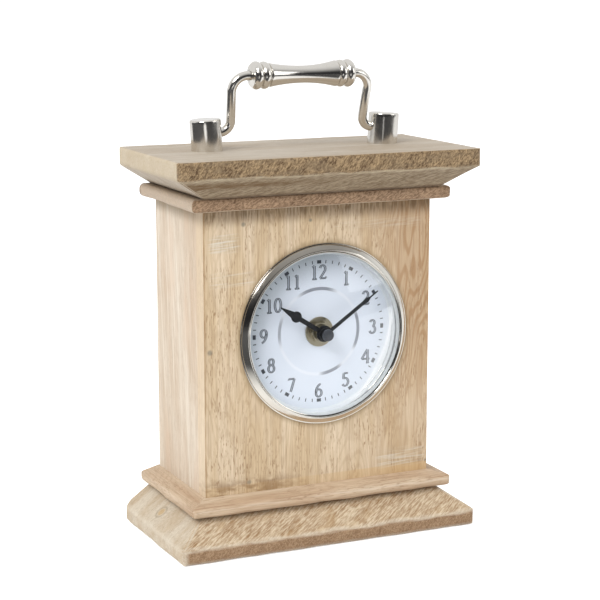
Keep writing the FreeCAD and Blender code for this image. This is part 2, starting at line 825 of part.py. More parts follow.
def motion_work():
    """The wheels that turn the hour hand once for twelve turns of the minute hand."""
    wall = (movement_front + movement_front_wall).number
    cover_front = (movement_back - cover_thick).number
    hour_plane, fast_plane = wall + 0.3, wall + 2.3
    gap = running_gap.number
    hand_end = (wood_front - hour_hand_out).number - 1.2
    arbor_end = (wood_front - minute_hand_out).number - 2.2

    minute_phase = reverser_direction
    reverser_phase = meshing_phase(minute_phase, minute_pinion_teeth, reverser_teeth,
                                   reverser_direction)
    hour_phase = reverser_direction
    pinion_phase = meshing_phase(hour_phase, hour_wheel_teeth, reverser_pinion_teeth,
                                 reverser_direction)
    knob_phase = meshing_phase(reverser_phase, reverser_teeth, knob_teeth, knob_direction)

    wheel("hour_wheel",
          [gear_blank(hour_wheel_teeth, slow_module, hour_phase, hour_plane, 1.4),
           bar_about(tube_radius, hand_end, hour_plane + 1.4 - hand_end)],
          [bar_about(arbor_radius + gap, hand_end - 1, hour_plane + 4 - hand_end)], (0, 0))
    wheel("minute_arbor",
          [gear_blank(minute_pinion_teeth, fast_module, minute_phase, fast_plane - 0.1, 1.7),
           bar_about(arbor_radius, arbor_end, cover_front - arbor_end - 0.3),
           bar_about(1.0, cover_front - 0.5, 1.5)], [], (0, 0))
    wheel("reverser_wheel",
          [gear_blank(reverser_teeth, fast_module, reverser_phase, fast_plane, 1.5),
           gear_blank(reverser_pinion_teeth, slow_module, pinion_phase, hour_plane - 0.1, 2.3)],
          [bar_about(0.8 + gap, wall, 8)], reverser_spot)
    wheel("reverser_stud",
          [bar_about(0.8, wall - 0.8, 5.2), bar_about(1.3, fast_plane + 1.6, 0.5)],
          [], reverser_spot)
    wheel("set_knob",
          [gear_blank(knob_teeth, fast_module, knob_phase, fast_plane - 0.1, 1.7),
           bar_about(0.8, wall - 0.6, fast_plane - wall + 1),
           bar_about(1.5, fast_plane, movement_back.number + 1 - fast_plane),
           knurled_disc(6.5, movement_back.number + 0.5, 4.6)], [], knob_spot)


def knurled_disc(radius, y, thick):
    """A finger disc with flutes round its rim."""
    disc = bar_about(radius, y, thick)
    flutes = []
    for index in range(18):
        u, v = polar(radius + 0.45, 20 * index)
        flutes.append(Part.makeCylinder(0.8, thick, Vector(u, y, v), Vector(0, 1, 0)))
    return disc.cut(flutes)


def movement_shell():
    """The movement's case: a train chamber above an open battery bay."""
    half, wall = movement_size / 2, movement_wall
    depth = movement_depth
    floor = movement_front_wall
    outer = rectangle(-half, half, -half, half)
    body = slab("movement_body", outer, depth, "XZ_Plane", True)
    place(body, dial_shift, movement_front, dial_height)
    rounded(body, "movement_corners", 2.5, movement_upright)
    bay_low = -half + wall
    bay_high = bay_low + bay_height
    bay = block("battery_bay", 2 * (half - wall), depth, bay_height,
                dial_shift - half + wall, movement_front + floor, dial_height + bay_low)
    train = block("train_chamber", 2 * (half - wall), depth, half - wall - bay_high - wall,
                  dial_shift - half + wall, movement_front + floor, dial_height + bay_high + wall)
    centre = round_bar("bushing_seat", bushing_radius, 4, dial_shift, movement_front - 1,
                       dial_height, "Y")
    socket = round_bar("knob_socket", 0.85, 0.8, dial_shift + knob_spot[0],
                       movement_front + floor - 0.8, dial_height + knob_spot[1], "Y")
    stud_seat = round_bar("stud_seat", 0.8, 0.8, dial_shift + reverser_spot[0],
                          movement_front + floor - 0.8, dial_height + reverser_spot[1], "Y")
    return finish("movement_case", cut("movement_case_cut", body,
                                       [bay, train, centre, socket, stud_seat]))


def movement_upright(edge):
    box = edge.BoundBox
    return box.XLength < 0.01 and box.ZLength < 0.01


def movement_cover():
    """The lid over the train chamber, pierced for the knob and the centre arbor."""
    half, wall = movement_size / 2, movement_wall
    low = -half + 2 * wall + bay_height
    outline = rectangle(-half + wall + 0.1, half - wall - 0.1, low + 0.1, half - wall - 0.1)
    holes = [(knob_spot[0], knob_spot[1], 1.5 + running_gap), (0, 0, 1 + running_gap)]
    body = slab("movement_cover", outline, cover_thick, "XZ_Plane", True, holes)
    place(body, dial_shift, movement_back - cover_thick, dial_height)
    return finish("movement_cover", body)


def battery():
    """A dry cell lying across the bay, its nub to the right."""
    axis_y = movement_front + movement_front_wall + battery_radius
    axis_z = dial_height - movement_size / 2 + movement_wall + battery_radius
    corners = [(0, 0), (battery_length, 0), (battery_length, 2.7), (battery_length - 1.2, 2.7),
               (battery_length - 1.2, battery_radius), (0, battery_radius)]
    body = turned("battery", corners, "XY_Plane", "H_Axis")
    place(body, dial_shift - battery_length / 2, axis_y, axis_z)
    finish("battery", body)
    reach = movement_size / 2 - movement_wall - battery_length / 2
    leaf = 0.45
    for side, name in ((-1, "negative_contact"), (1, "positive_contact")):
        bent = [(side * (reach - leaf), -4.5), (0, 0), (side * (reach - leaf), 4.5),
                (side * reach, 4.5), (side * leaf, 0), (side * reach, -4.5)]
        spring = slab(name, bent, 8)
        place(spring, dial_shift + side * battery_length / 2, axis_y, axis_z - 4)
        finish(name, spring)


# --------------------------------------------------------------- the handle

def mirrored(name, source):
    twin = doc.addObject("Part::Mirroring", name)
    twin.Source = source
    twin.Normal = Vector(1, 0, 0)
    return twin


def handle_posts():
    """Turned posts that lean a little outwards, cut flat to stand on the cap."""
    edge = Size(1)
    sink = Size(-1.5)
    outline = [(0, sink), (post_radius, sink), (post_radius, post_height - edge, -edge),
               (post_radius - edge, post_height), (0, post_height)]
    body = turned("post_turning", outline, "XZ_Plane")
    place(body, post_spread, post_place, cap_top, Rotation(Vector(0, 1, 0), post_lean.number))
    bind(body, "Placement.Rotation.Angle", post_lean)
    under = block("post_under", 30, 30, 5, post_spread - 15, post_place - 15, cap_top - 5)
    hinge = round_bar("post_hinge_hole", wire_radius + running_gap, 20,
                      post_spread + 3.2 - 20, post_place, hinge_z, "X")
    tapped = round_bar("post_tapped_hole", 2.4, 6.5, post_screw_x, post_place, cap_top - 0.2)
    right = cut("post_right_cut", body, [under, hinge, tapped])
    finish("handle_post_right", right)
    finish("handle_post_left", mirrored("post_left", right))


def bail_leg():
    """One bent leg: a hinge pin, a tight bend, a leaning leg, a shoulder and a tenon."""
    lean = math.radians(leg_lean.number)
    out, up = math.sin(lean), math.cos(lean)
    low, high = lower_bend.number, upper_bend.number
    foot = Vector(leg_place.number, low + low * out, 0)
    low_centre = Vector(foot.x + low * up, low, 0)
    run = (bail_height.number - high - high * out - foot.y) / up
    knee = foot + Vector(out, up, 0) * run
    high_centre = knee + Vector(-up, out, 0) * high
    body = new_body("bail_leg_right")
    path = new_sketch(body, "leg_path", "XZ_Plane")
    pin_end = post_spread + 2
    tenon_end = grip_half - 6
    axis = Vector(0, 0, 1)
    path.addGeometry(Part.LineSegment(Vector(pin_end.number, 0, 0), Vector(low_centre.x, 0, 0)))
    path.addGeometry(Part.ArcOfCircle(Part.Circle(low_centre, axis, low),
                                      math.pi - lean, 1.5 * math.pi))
    path.addGeometry(Part.LineSegment(foot, knee))
    path.addGeometry(Part.ArcOfCircle(Part.Circle(high_centre, axis, high), -lean, math.pi / 2))
    path.addGeometry(Part.LineSegment(Vector(high_centre.x, bail_height.number, 0),
                                      Vector(tenon_end.number, bail_height.number, 0)))
    joints = ((0, 2, 1, 2), (1, 1, 2, 1), (2, 2, 3, 1), (3, 2, 4, 1))
    for joint in joints:
        path.addConstraint(Sketcher.Constraint("Tangent", *joint))
    path.addConstraint(Sketcher.Constraint("Horizontal", 4))
    pin_point(path, 0, 1, pin_end, 0)
    path.addConstraint(Sketcher.Constraint("PointOnObject", 0, 2, -1))
    pin_point(path, 4, 2, tenon_end, bail_height)
    held = path.addConstraint(Sketcher.Constraint("DistanceX", -1, 1, 2, 1, leg_place.number))
    bind(path, f"Constraints[{held}]", leg_place)
    for edge, bend in ((1, lower_bend), (3, upper_bend)):
        held = path.addConstraint(Sketcher.Constraint("Radius", edge, bend.number))
        bind(path, f"Constraints[{held}]", bend)
    section = new_sketch(body, "leg_section", "YZ_Plane", pin_end)
    draw_circle(section, 0, 0, wire_radius)
    pipe = body.newObject("PartDesign::AdditivePipe", "leg_pipe")
    pipe.Profile = section
    pipe.Spine = path
    on_hinge(body)
    finish("bail_leg_right", body)
    finish("bail_leg_left", mirrored("bail_leg_left", body))


def on_hinge(body):
    """Stands a piece of the bail on the hinge line, tilted forwards."""
    place(body, 0, post_place, hinge_z, Rotation(Vector(1, 0, 0), bail_tilt.number))
    bind(body, "Placement.Rotation.Angle", bail_tilt)


def handle_grip():
    """The turned grip: a waisted barrel between two pairs of beads."""
    end, waist, bead = grip_half, grip_waist, grip_bead
    flare = end - 10.8
    left_flare, right_flare = Size(6.7), Size(7.3)

    def sweep(rim):
        drop = rim - waist
        return (flare * flare + drop * drop) / (2 * drop)

    def beads(side, rim):
        """Corners from the flare's rim out to the grip's end face, seen on one side."""
        return [(side * (flare + 0.6), rim), (side * (flare + 0.9), rim - 0.3),
                (side * (end - 9.6), bead - 0.9), (side * (end - 5.2), bead - 0.8),
                (side * (end - 0.3), bead - 0.6), (side * end, bead - 1)]

    def bulged(corners, radius, which):
        return [(*corner, radius) if index in which else corner
                for index, corner in enumerate(corners)]

    bore = [(end, wire_radius), (end - 6, wire_radius), (end - 6, 0)]
    right = bulged(beads(1, right_flare), Size(2.9), (2, 3))
    left = bulged(list(reversed(beads(-1, left_flare))), Size(2.9), (1, 2))
    outline = [(-(end - 6), 0), (-(end - 6), wire_radius), (-end, wire_radius)]
    outline += left
    outline += [(-flare, left_flare, -sweep(left_flare)), (0, waist, -sweep(right_flare)),
                (flare, right_flare)]
    outline += right + bore
    body = turned("handle_grip", outline, "XZ_Plane", "H_Axis")
    stand = doc.addObject("Part::Compound", "grip_stand")
    stand.Links = [body]
    place(body, 0, 0, bail_height)
    on_hinge(stand)
    return finish("handle_grip", stand)


# -------------------------------------------------------------------- build

def check_and_write():
    """Refuses a failed or empty piece, then writes each piece to its own file."""
    doc.recompute()
    for item in doc.Objects:
        if "Invalid" in item.State or "Error" in item.State:
            raise RuntimeError(f"{item.Name} did not build: {item.State}")
    os.makedirs("parts", exist_ok=True)
    for label, item in finished.items():
        shape = item.Shape
        if shape.isNull() or not shape.isValid() or not shape.Solids:
            raise RuntimeError(f"{label} has no sound solid")
        shape.exportStep(f"parts/{label}.step")
        print(f"{label:22s} {shape.Volume:12.1f} mm3  {len(shape.Solids)} solid(s)")


for make in (base_board, bottom_moulding, top_moulding, cap_board, front_board, back_board,
             top_rail, panel_pins, wood_screws, handle_screws, bezel, crystal, insert_cup,
             insert_band, dial_fittings, hands, motion_work, movement_shell, movement_cover,
             battery, handle_posts, bail_leg, handle_grip):
    make()
side_board("left_side_board", -1)
side_board("right_side_board", 1)
check_and_write()
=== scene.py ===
import json
import math

import bmesh
import bpy
from mathutils import Matrix, Vector, noise


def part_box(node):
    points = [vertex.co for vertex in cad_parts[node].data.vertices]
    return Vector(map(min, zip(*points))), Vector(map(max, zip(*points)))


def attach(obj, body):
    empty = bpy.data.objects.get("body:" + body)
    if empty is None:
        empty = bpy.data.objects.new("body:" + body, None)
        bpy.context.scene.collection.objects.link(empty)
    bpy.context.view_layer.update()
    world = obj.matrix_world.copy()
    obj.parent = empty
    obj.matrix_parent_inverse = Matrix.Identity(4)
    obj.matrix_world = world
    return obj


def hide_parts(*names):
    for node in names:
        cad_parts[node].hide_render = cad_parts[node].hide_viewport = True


# A bracket clock in washed pale wood, with a nickel-rimmed dial insert and a nickel
# carrying handle. Lengths are in metres; MM turns millimetres into metres.
# The front faces -Y, +X is on the right seen from the front and +Z is up.

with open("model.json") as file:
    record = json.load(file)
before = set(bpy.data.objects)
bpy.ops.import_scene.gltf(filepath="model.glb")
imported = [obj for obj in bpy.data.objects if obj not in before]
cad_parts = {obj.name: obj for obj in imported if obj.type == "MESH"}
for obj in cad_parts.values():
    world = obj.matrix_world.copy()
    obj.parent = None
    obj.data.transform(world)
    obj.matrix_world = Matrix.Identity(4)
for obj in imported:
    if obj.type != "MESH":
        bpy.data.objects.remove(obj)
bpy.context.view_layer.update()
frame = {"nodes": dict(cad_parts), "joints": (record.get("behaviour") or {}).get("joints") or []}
nodes = frame["nodes"]
joints = {joint["name"]: Vector(joint["pos_m"]) for joint in frame["joints"]}

MM = 0.001

# places read from the frame
wood_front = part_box("front_board")[0].y
case_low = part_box("front_board")[0].z
case_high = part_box("front_board")[1].z
case_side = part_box("left_side_board")[0].x
cap_low, cap_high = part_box("cap_board")
base_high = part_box("base_board")[1]
dial_axis = Vector((joints["minute_hand_turn"].x, 0, joints["minute_hand_turn"].z))
dial_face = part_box("dial_plate")[0].y
hinge = joints["bail_swing"]
cap_top = cap_high.z


# ------------------------------------------------------------- shader wording

class Value:
    """A socket of a finish, so that sums on it are written as ordinary Python."""

    def __init__(self, finish, socket):
        self.finish = finish
        self.socket = socket

    def maths(self, operation, first, second):
        return self.finish.node("ShaderNodeMath", {"operation": operation}, {0: first, 1: second})

    def __add__(self, other):
        return self.maths("ADD", self, other)

    def __radd__(self, other):
        return self.maths("ADD", other, self)

    def __sub__(self, other):
        return self.maths("SUBTRACT", self, other)

    def __rsub__(self, other):
        return self.maths("SUBTRACT", other, self)

    def __mul__(self, other):
        return self.maths("MULTIPLY", self, other)

    def __rmul__(self, other):
        return self.maths("MULTIPLY", other, self)

    def __pow__(self, other):
        return self.maths("POWER", self, other)

    def __abs__(self):
        return self.maths("ABSOLUTE", self, 0)

    def rise(self, low, high):
        """0 below low and 1 above high, with a soft step between; low may be the larger."""
        sockets = {"Value": self, "From Min": low, "From Max": high, "To Min": 0, "To Max": 1}
        return self.finish.node("ShaderNodeMapRange", {"interpolation_type": "SMOOTHSTEP"}, sockets)

    def within(self, low, high, soft):
        """1 between low and high, with soft borders inside."""
        return self.rise(low, low + soft) * self.rise(high, high - soft)


class Finish:
    """One material, or the studio's surroundings, and the nodes that make it."""

    def __init__(self, name, library=bpy.data.materials, output="ShaderNodeOutputMaterial"):
        self.material = library.new(name)
        self.material.use_nodes = True
        self.tree = self.material.node_tree
        self.tree.nodes.clear()
        self.output = output
        self.place = self.node("ShaderNodeTexCoord", out="Object")

    def node(self, kind, settings=None, sockets=None, out=0):
        made = self.tree.nodes.new(kind)
        for name, setting in (settings or {}).items():
            setattr(made, name, setting)
        for name, given in (sockets or {}).items():
            if isinstance(given, Value):
                self.tree.links.new(given.socket, made.inputs[name])
            else:
                made.inputs[name].default_value = given
        return Value(self, made.outputs[out]) if made.outputs else None

    def axis(self, letter):
        """One coordinate of the surface, in millimetres."""
        return self.node("ShaderNodeSeparateXYZ", {}, {"Vector": self.place}, letter) * 1000

    def facing(self, letter):
        """How far the surface faces along one axis, from 0 to 1."""
        normal = self.node("ShaderNodeTexCoord", out="Normal")
        return abs(self.node("ShaderNodeSeparateXYZ", {}, {"Vector": normal}, letter))

    def grain(self, across, along, turn=(0, 0, 0), detail=3.0, rough=0.55, warp=0.0):
        """Stretched noise: across and along are the size of its marks in millimetres."""
        size = (across * MM, across * MM, along * MM)
        settings = {"vector_type": "TEXTURE"}
        local = self.node("ShaderNodeMapping", settings,
                          {"Vector": self.place, "Rotation": turn, "Scale": size})
        return self.node("ShaderNodeTexNoise", {}, {"Vector": local, "Scale": 1.0,
                         "Detail": detail, "Roughness": rough, "Distortion": warp}, "Fac")

    def mixed(self, factor, first, second, way="MIX"):
        """One colour or the other, by a factor."""
        settings = {"data_type": "RGBA", "blend_type": way}
        return self.node("ShaderNodeMix", settings, {0: factor, 6: first, 7: second}, 2)

    def bump(self, height, strength, distance):
        return self.node("ShaderNodeBump", {}, {"Strength": strength, "Distance": distance,
                                                "Height": height})

    def close(self, **sockets):
        """Ends the material in one Principled shader; underscores stand for spaces."""
        named = {name.replace("_", " "): given for name, given in sockets.items()}
        shader = self.node("ShaderNodeBsdfPrincipled", {}, named, "BSDF")
        return self.surface(shader)

    def surface(self, shader):
        self.node(self.output, {}, {"Surface": shader})
        return self.material


def colour(red, green, blue):
    """A colour as it looks on a screen, 0 to 255, in the linear values that shaders take."""
    def linear(part):
        part /= 255
        return part / 12.92 if part <= 0.04045 else ((part + 0.055) / 1.055) ** 2.4
    return (linear(red), linear(green), linear(blue), 1)


UPRIGHT = (0, 0, 0)
ACROSS = (0, math.radians(90), 0)
# slanting figure that lies in the front slopes of the base and of the cap
BASE_SLANT = (math.radians(-27.7), math.radians(67.7), 0)
CAP_SLANT = (math.radians(14), math.radians(75.6), 0)


# ---------------------------------------------------------------- wood finishes

def turn_at_mitres(wood, mitre):
    """Lays the grain of the side strips along Y; mitre is |X| + Y on the corner joints."""
    x, y, z = [wood.node("ShaderNodeSeparateXYZ", {}, {"Vector": wood.place}, letter)
               for letter in "XYZ"]
    crossed = wood.node("ShaderNodeCombineXYZ", {}, {"X": y, "Y": x, "Z": z})
    beside = (abs(x) + y).rise(mitre - 0.2 * MM, mitre + 0.2 * MM)
    wood.place = wood.node("ShaderNodeMix", {"data_type": "VECTOR"},
                           {0: beside, 4: wood.place, 5: crossed}, 1)


def timber(name, pale, tan, dark, turn=UPRIGHT, pores=0.7, streaks=0.35, mitre=None):
    """Washed open-grained wood. Returns the finish, its colour and its height."""
    wood = Finish(name)
    if mitre is not None:
        turn_at_mitres(wood, mitre)
    tone = wood.mixed(wood.grain(13, 85, turn, 4).rise(0.36, 0.64), tan, pale)
    streak = wood.grain(1.5, 55, turn, 4, 0.65).rise(0.46, 0.74)
    tone = wood.mixed(streak * streaks, tone, dark)
    rings = wood.node("ShaderNodeMath", {"operation": "SINE"},
                      {0: wood.grain(30, 190, turn, 2) * 210})
    tone = wood.mixed(rings.rise(0.1, 1.0) * (0.35 * streaks), tone, dark)
    fibre = wood.grain(0.5, 12, turn, 2)
    tone = wood.mixed(0.45, tone, wood.mixed(fibre.rise(0.3, 0.7), (0.66, 0.62, 0.57, 1),
                                             (1.0, 1.0, 1.0, 1)), "MULTIPLY")
    crowd = wood.grain(10, 28, turn, 2).rise(0.34, 0.6)
    pore = wood.grain(0.5, 3.6, turn, 1).rise(0.58, 0.7) * crowd
    tone = wood.mixed(pore * pores, tone, dark)
    height = fibre * 0.35 - pore
    return wood, tone, height


def speckled(wood, tone, mask, light, dark, turn, across=0.5, along=1.0):
    """End grain over part of a board: fine light and dark specks that drift in rows."""
    specks = wood.grain(across, along, turn, 3, 0.65).rise(0.34, 0.66)
    drift = wood.grain(3.0, 16, turn, 4).rise(0.34, 0.66)
    rough = wood.mixed(specks * 0.75 + drift * 0.25, dark, light)
    return wood.mixed(mask, tone, rough), specks


def closed_wood(wood, tone, height, wash, roughness=0.66):
    """Ends a wood: the wash is the share of each colour that its worn surface gives back."""
    tone = wood.mixed(1.0, tone, (*wash, 1), "MULTIPLY")
    normal = wood.bump(height, 0.5, 0.25 * MM)
    return wood.close(Base_Color=tone, Roughness=roughness, Normal=normal,
                      Specular_IOR_Level=0.3)


def front_wood():
    """The front board: upright grain with short dark pores, stains, scratches and pins, and painted
    shadow under the top moulding and round the bezel.
    """
    wood, tone, height = timber("front_board_wood", colour(230, 208, 178), colour(214, 188, 152),
                                colour(146, 110, 72), UPRIGHT, 0.7, 0.42)
    x, z = wood.axis("X"), wood.axis("Z")
    flame = wood.node("ShaderNodeMath", {"operation": "SINE"},
                      {0: wood.grain(22, 130, UPRIGHT, 2) * 150 + x * 0.5})
    ruddy = x.rise(12, 60) * (0.45 + z.rise(60, 130) * 0.55)
    tone = wood.mixed(ruddy * (0.45 + flame.rise(-0.2, 0.9) * 0.4), tone, colour(168, 130, 92))
    low, high = case_low * 1000, case_high * 1000
    drip = wood.grain(1.1, 9, UPRIGHT, 3).rise(0.32, 0.66)
    # darker band under the top moulding: painted shadow nearest the moulding, with stain flecks below
    # it
    stain_and_painted_shadow = z.rise(high - 11, high - 2.5) * (0.55 + drip * 0.45)
    tone = wood.mixed(stain_and_painted_shadow * 0.85, tone, colour(104, 80, 52))
    blot = wood.grain(8, 3.4, UPRIGHT, 3).rise(0.4, 0.62)
    foot = z.rise(low + 11, low + 2) * x.rise(-2, -30) * blot
    tone = wood.mixed(foot * 0.75, tone, colour(130, 98, 66))
    strip = z.rise(low + 5.5, low + 4.5) * (0.4 + x.rise(-20, 60) * 0.6)
    tone = wood.mixed(strip * 0.5, tone, colour(208, 168, 112))
    lean = (0, math.radians(87), 0)
    rubbed = wood.grain(0.9, 22, lean, 3).rise(0.44, 0.66)
    for left, right, bottom, top, amount in ((-68, -46, 166, 178, 0.7), (-68, -36, 147, 157, 0.35),
                                             (34, 70, 34, 47, 0.42), (6, 66, 174, 182, 0.2)):
        patch = x.within(left, right, 6) * z.within(bottom, top, 3)
        tone = wood.mixed(patch * rubbed * amount, tone, colour(220, 214, 200))
        tone = wood.mixed(patch * (1 - rubbed) * (amount * 0.3), tone, colour(166, 150, 122))
    spots = ((-65.8, 112.7, 2.2, 0.6), (-45.7, 182.0, 1.8, 0.6), (-5.5, 182.0, 1.4, 0.7),
             (-43.0, 37.0, 2.0, 0.5), (68.6, 36.4, 1.2, 0.6))
    for spot_x, spot_z, reach, amount in spots:
        away = ((x - spot_x) ** 2 + (z - spot_z) ** 2) ** 0.5
        tone = wood.mixed(away.rise(reach, reach * 0.3) * amount, tone, colour(112, 110, 98))
    # painted shadow of the bezel on the wood, darker in a ring round it
    ring = ((x - dial_axis.x * 1000) ** 2 + (z - dial_axis.z * 1000) ** 2) ** 0.5
    tone = wood.mixed(ring.rise(55, 51) * 0.5, tone, colour(146, 122, 84))
    edge = wood.facing("X").rise(0.4, 0.8)
    tone = wood.mixed(edge * 0.5, tone, colour(240, 218, 190))
    arris = x.rise(case_side * 1000 + 1.3, case_side * 1000 + 0.4) * (1 - edge)
    tone = wood.mixed(arris * (0.3 + drip * 0.5), tone, colour(160, 126, 88))
    return closed_wood(wood, tone, height, (0.815, 0.835, 0.86))


def side_wood():
    """The side boards: smoother, paler and pinker, with long soft grain."""
    lean = (math.radians(-4), 0, 0)
    wood, tone, height = timber("side_board_wood", colour(243, 226, 206), colour(230, 208, 184),
                                colour(192, 158, 124), lean, 0.3, 0.34)
    cream = wood.grain(3.2, 120, lean, 2).rise(0.52, 0.68)
    tone = wood.mixed(cream * 0.5, tone, colour(252, 240, 224))
    flame = wood.grain(16, 60, lean, 4).rise(0.5, 0.68)
    tone = wood.mixed(flame * 0.3, tone, colour(232, 198, 168))
    y, z = wood.axis("Y"), wood.axis("Z")
    high = case_high * 1000
    # darker under the top moulding: painted shadow with stain
    tone = wood.mixed(z.rise(high - 10, high - 1) * 0.6, tone, colour(150, 128, 98))
    seam_and_painted_shadow = y.rise(wood_front * 1000 + 9.8, wood_front * 1000 + 9.1)
    tone = wood.mixed(seam_and_painted_shadow * 0.5, tone, colour(150, 120, 86))
    return closed_wood(wood, tone, height, (0.75, 0.77, 0.78))


def cap_wood():
    """The cap board: faint streaks on top, coarse brown front edge, grey-brown slopes."""
    wood, tone, height = timber("cap_board_wood", colour(214, 202, 184), colour(200, 184, 162),
                                colour(160, 136, 108), ACROSS, 0.3, 0.3)
    x, z = wood.axis("X"), wood.axis("Z")
    top = wood.facing("Z").rise(0.8, 0.95)
    front = wood.facing("Y").rise(0.3, 0.6)
    wave = wood.grain(3, 12, ACROSS, 2) * 2.4
    level = z + wave - 1.2
    band = level.rise(208.9, 210.2)
    tone, specks = speckled(wood, tone, front * (1 - top), colour(186, 158, 118),
                            colour(82, 57, 34), (0, math.radians(40), 0), 0.7, 1.5)
    patch = wood.grain(5, 14, ACROSS, 3).rise(0.42, 0.62) * front
    tone = wood.mixed(patch * 0.35, tone, colour(128, 110, 86))
    slope, _ = speckled(wood, tone, front, colour(180, 162, 134), colour(122, 100, 74),
                        CAP_SLANT, 0.7, 4.0)
    tone = wood.mixed(front * (1 - band), tone, slope)
    patchy = wood.grain(1.4, 9, ACROSS, 3).rise(0.36, 0.6)
    below = level.within(203.0, 208.0, 1.8) * x.rise(20, -40) * front
    tone = wood.mixed(below * (0.35 + patchy * 0.4), tone, colour(112, 82, 48))
    worn = level.within(208.0, 210.6, 1.2) * (0.25 + patchy * 0.6)
    tone = wood.mixed(worn * 0.6, tone, colour(214, 198, 168))
    # painted shadow line in the crease where the cap meets the top moulding
    seam_and_painted_shadow = z.rise(cap_low.z * 1000 + 1.8, cap_low.z * 1000 + 0.3)
    tone = wood.mixed(seam_and_painted_shadow * 0.6, tone, colour(96, 70, 46))
    ends = (1 - front) * (1 - top)
    tone = wood.mixed(ends * band * 0.45, tone, colour(226, 208, 174))
    tone = wood.mixed(ends * specks * 0.2, tone, colour(170, 144, 108))
    return closed_wood(wood, tone, height + specks * front * 0.6, (0.76, 0.77, 0.79), 0.6)


def base_wood():
    """The base board: slanting coarse figure on the front slope and a darker front edge."""
    wood, tone, height = timber("base_board_wood", colour(234, 216, 190), colour(218, 194, 162),
                                colour(170, 136, 98), (0, math.radians(74), 0), 0.4, 0.3)
    x, y, z = wood.axis("X"), wood.axis("Y"), wood.axis("Z")
    front = wood.facing("Y").rise(0.3, 0.6)
    wave = wood.grain(3, 14, ACROSS, 2) * 2.4
    level = z + wave - 1.2
    edge = level.rise(9.2, 7.6)
    tone, specks = speckled(wood, tone, front, colour(234, 210, 176), colour(162, 124, 84),
                            BASE_SLANT, 0.75, 5.0)
    ochre = wood.grain(7, 18, BASE_SLANT, 3).rise(0.5, 0.7) * front
    tone = wood.mixed(ochre * 0.35, tone, colour(186, 146, 96))
    dark, _ = speckled(wood, tone, front, colour(186, 152, 116), colour(134, 98, 66),
                       (0, math.radians(40), 0), 0.5, 0.9)
    tone = wood.mixed(front * edge, tone, dark)
    worn = level.within(7.0, 10.6, 1.6) * 0.42 + z.rise(2.6, 0.8) * 0.5
    tone = wood.mixed(worn * (0.4 + wood.grain(1.4, 7, ACROSS, 3).rise(0.3, 0.6) * 0.6), tone,
                      colour(236, 220, 196))
    corner = x.rise(-86.5, -89.5) * front * edge
    tone = wood.mixed(corner * (0.45 + specks * 0.4), tone, colour(232, 214, 188))
    # painted shadow line on the base slope under the bottom moulding's nose
    seam_and_painted_shadow = z.rise(base_high.z * 1000 - 2.4, base_high.z * 1000 - 0.5)
    tone = wood.mixed(seam_and_painted_shadow * 0.7, tone, colour(96, 64, 38))
    knot = ((y - 7.5) ** 2 + ((z - 15) * 1.7) ** 2) ** 0.5
    at_left = x.rise(-70, -74)
    tone = wood.mixed(knot.rise(3.4, 1.6) * at_left * 0.7, tone, colour(206, 168, 112))
    tone = wood.mixed(knot.within(2.6, 5.0, 1.2) * at_left * 0.5, tone, colour(160, 140, 112))
    return closed_wood(wood, tone, height + specks * front * 0.6, (0.73, 0.77, 0.82), 0.62)


def moulding_wood():
    """The two mouldings: fine speckled grain along their length."""
    wood, tone, height = timber("moulding_wood", colour(226, 202, 174), colour(208, 178, 148),
                                colour(156, 120, 88), ACROSS, 0.6, 0.35,
                                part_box("bottom_moulding")[1].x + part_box("bottom_moulding")[0].y)
    z = wood.axis("Z")
    front = wood.facing("Y").rise(0.3, 0.7)
    upper = z.rise(100, 110)
    tone = wood.mixed(upper * (1 - front) * 0.6, tone, colour(240, 224, 204))
    tone, specks = speckled(wood, tone, upper * (0.35 + front * 0.6), colour(186, 152, 120),
                            colour(104, 76, 52), (0, math.radians(60), 0), 0.8, 2.0)
    base_top = base_high.z * 1000
    vein = wood.grain(1.0, 16, ACROSS, 3).rise(0.38, 0.6)
    line = z.within(base_top + 5.6, base_top + 8.0, 0.9) * front
    tone = wood.mixed(line * vein * 0.6, tone, colour(140, 104, 66))
    pale = z.within(base_top + 3.2, base_top + 5.8, 1.0) * front
    tone = wood.mixed(pale * (1 - vein) * 0.4, tone, colour(240, 222, 200))
    return closed_wood(wood, tone, height + specks * upper * 0.4, (0.78, 0.80, 0.81), 0.64)


def fibreboard():
    """The raw board that closes the back."""
    board = Finish("back_board_fibre")
    blend = board.grain(0.9, 1.2, UPRIGHT, 4).rise(0.3, 0.7)
    tone = board.mixed(blend, colour(150, 116, 78), colour(178, 142, 100))
    tone = board.mixed(board.grain(24, 30, UPRIGHT, 3).rise(0.35, 0.65) * 0.3, tone,
                       colour(196, 164, 122))
    return board.close(Base_Color=tone, Roughness=0.8, Normal=board.bump(blend, 0.25, 0.1 * MM))


# --------------------------------------------------------------- metal and rest

def plated(name, tint, roughness, scuffs):
    """Bright plated metal with faint wiping marks and cloudy spots."""
    metal = Finish(name)
    cloud = metal.grain(5, 8, UPRIGHT, 4).rise(0.4, 0.75)
    wiped = metal.grain(0.35, 5, (0, math.radians(70), 0), 3).rise(0.5, 0.8)
    tone = metal.mixed(cloud * 0.2, tint, (tint[0] * 0.86, tint[1] * 0.84, tint[2] * 0.8, 1))
    gloss = roughness + cloud * 0.05 + wiped * scuffs
    return metal.close(Base_Color=tone, Metallic=1.0, Roughness=gloss,
                       Normal=metal.bump(metal.grain(3, 6, UPRIGHT, 2), 0.06, 0.2 * MM))


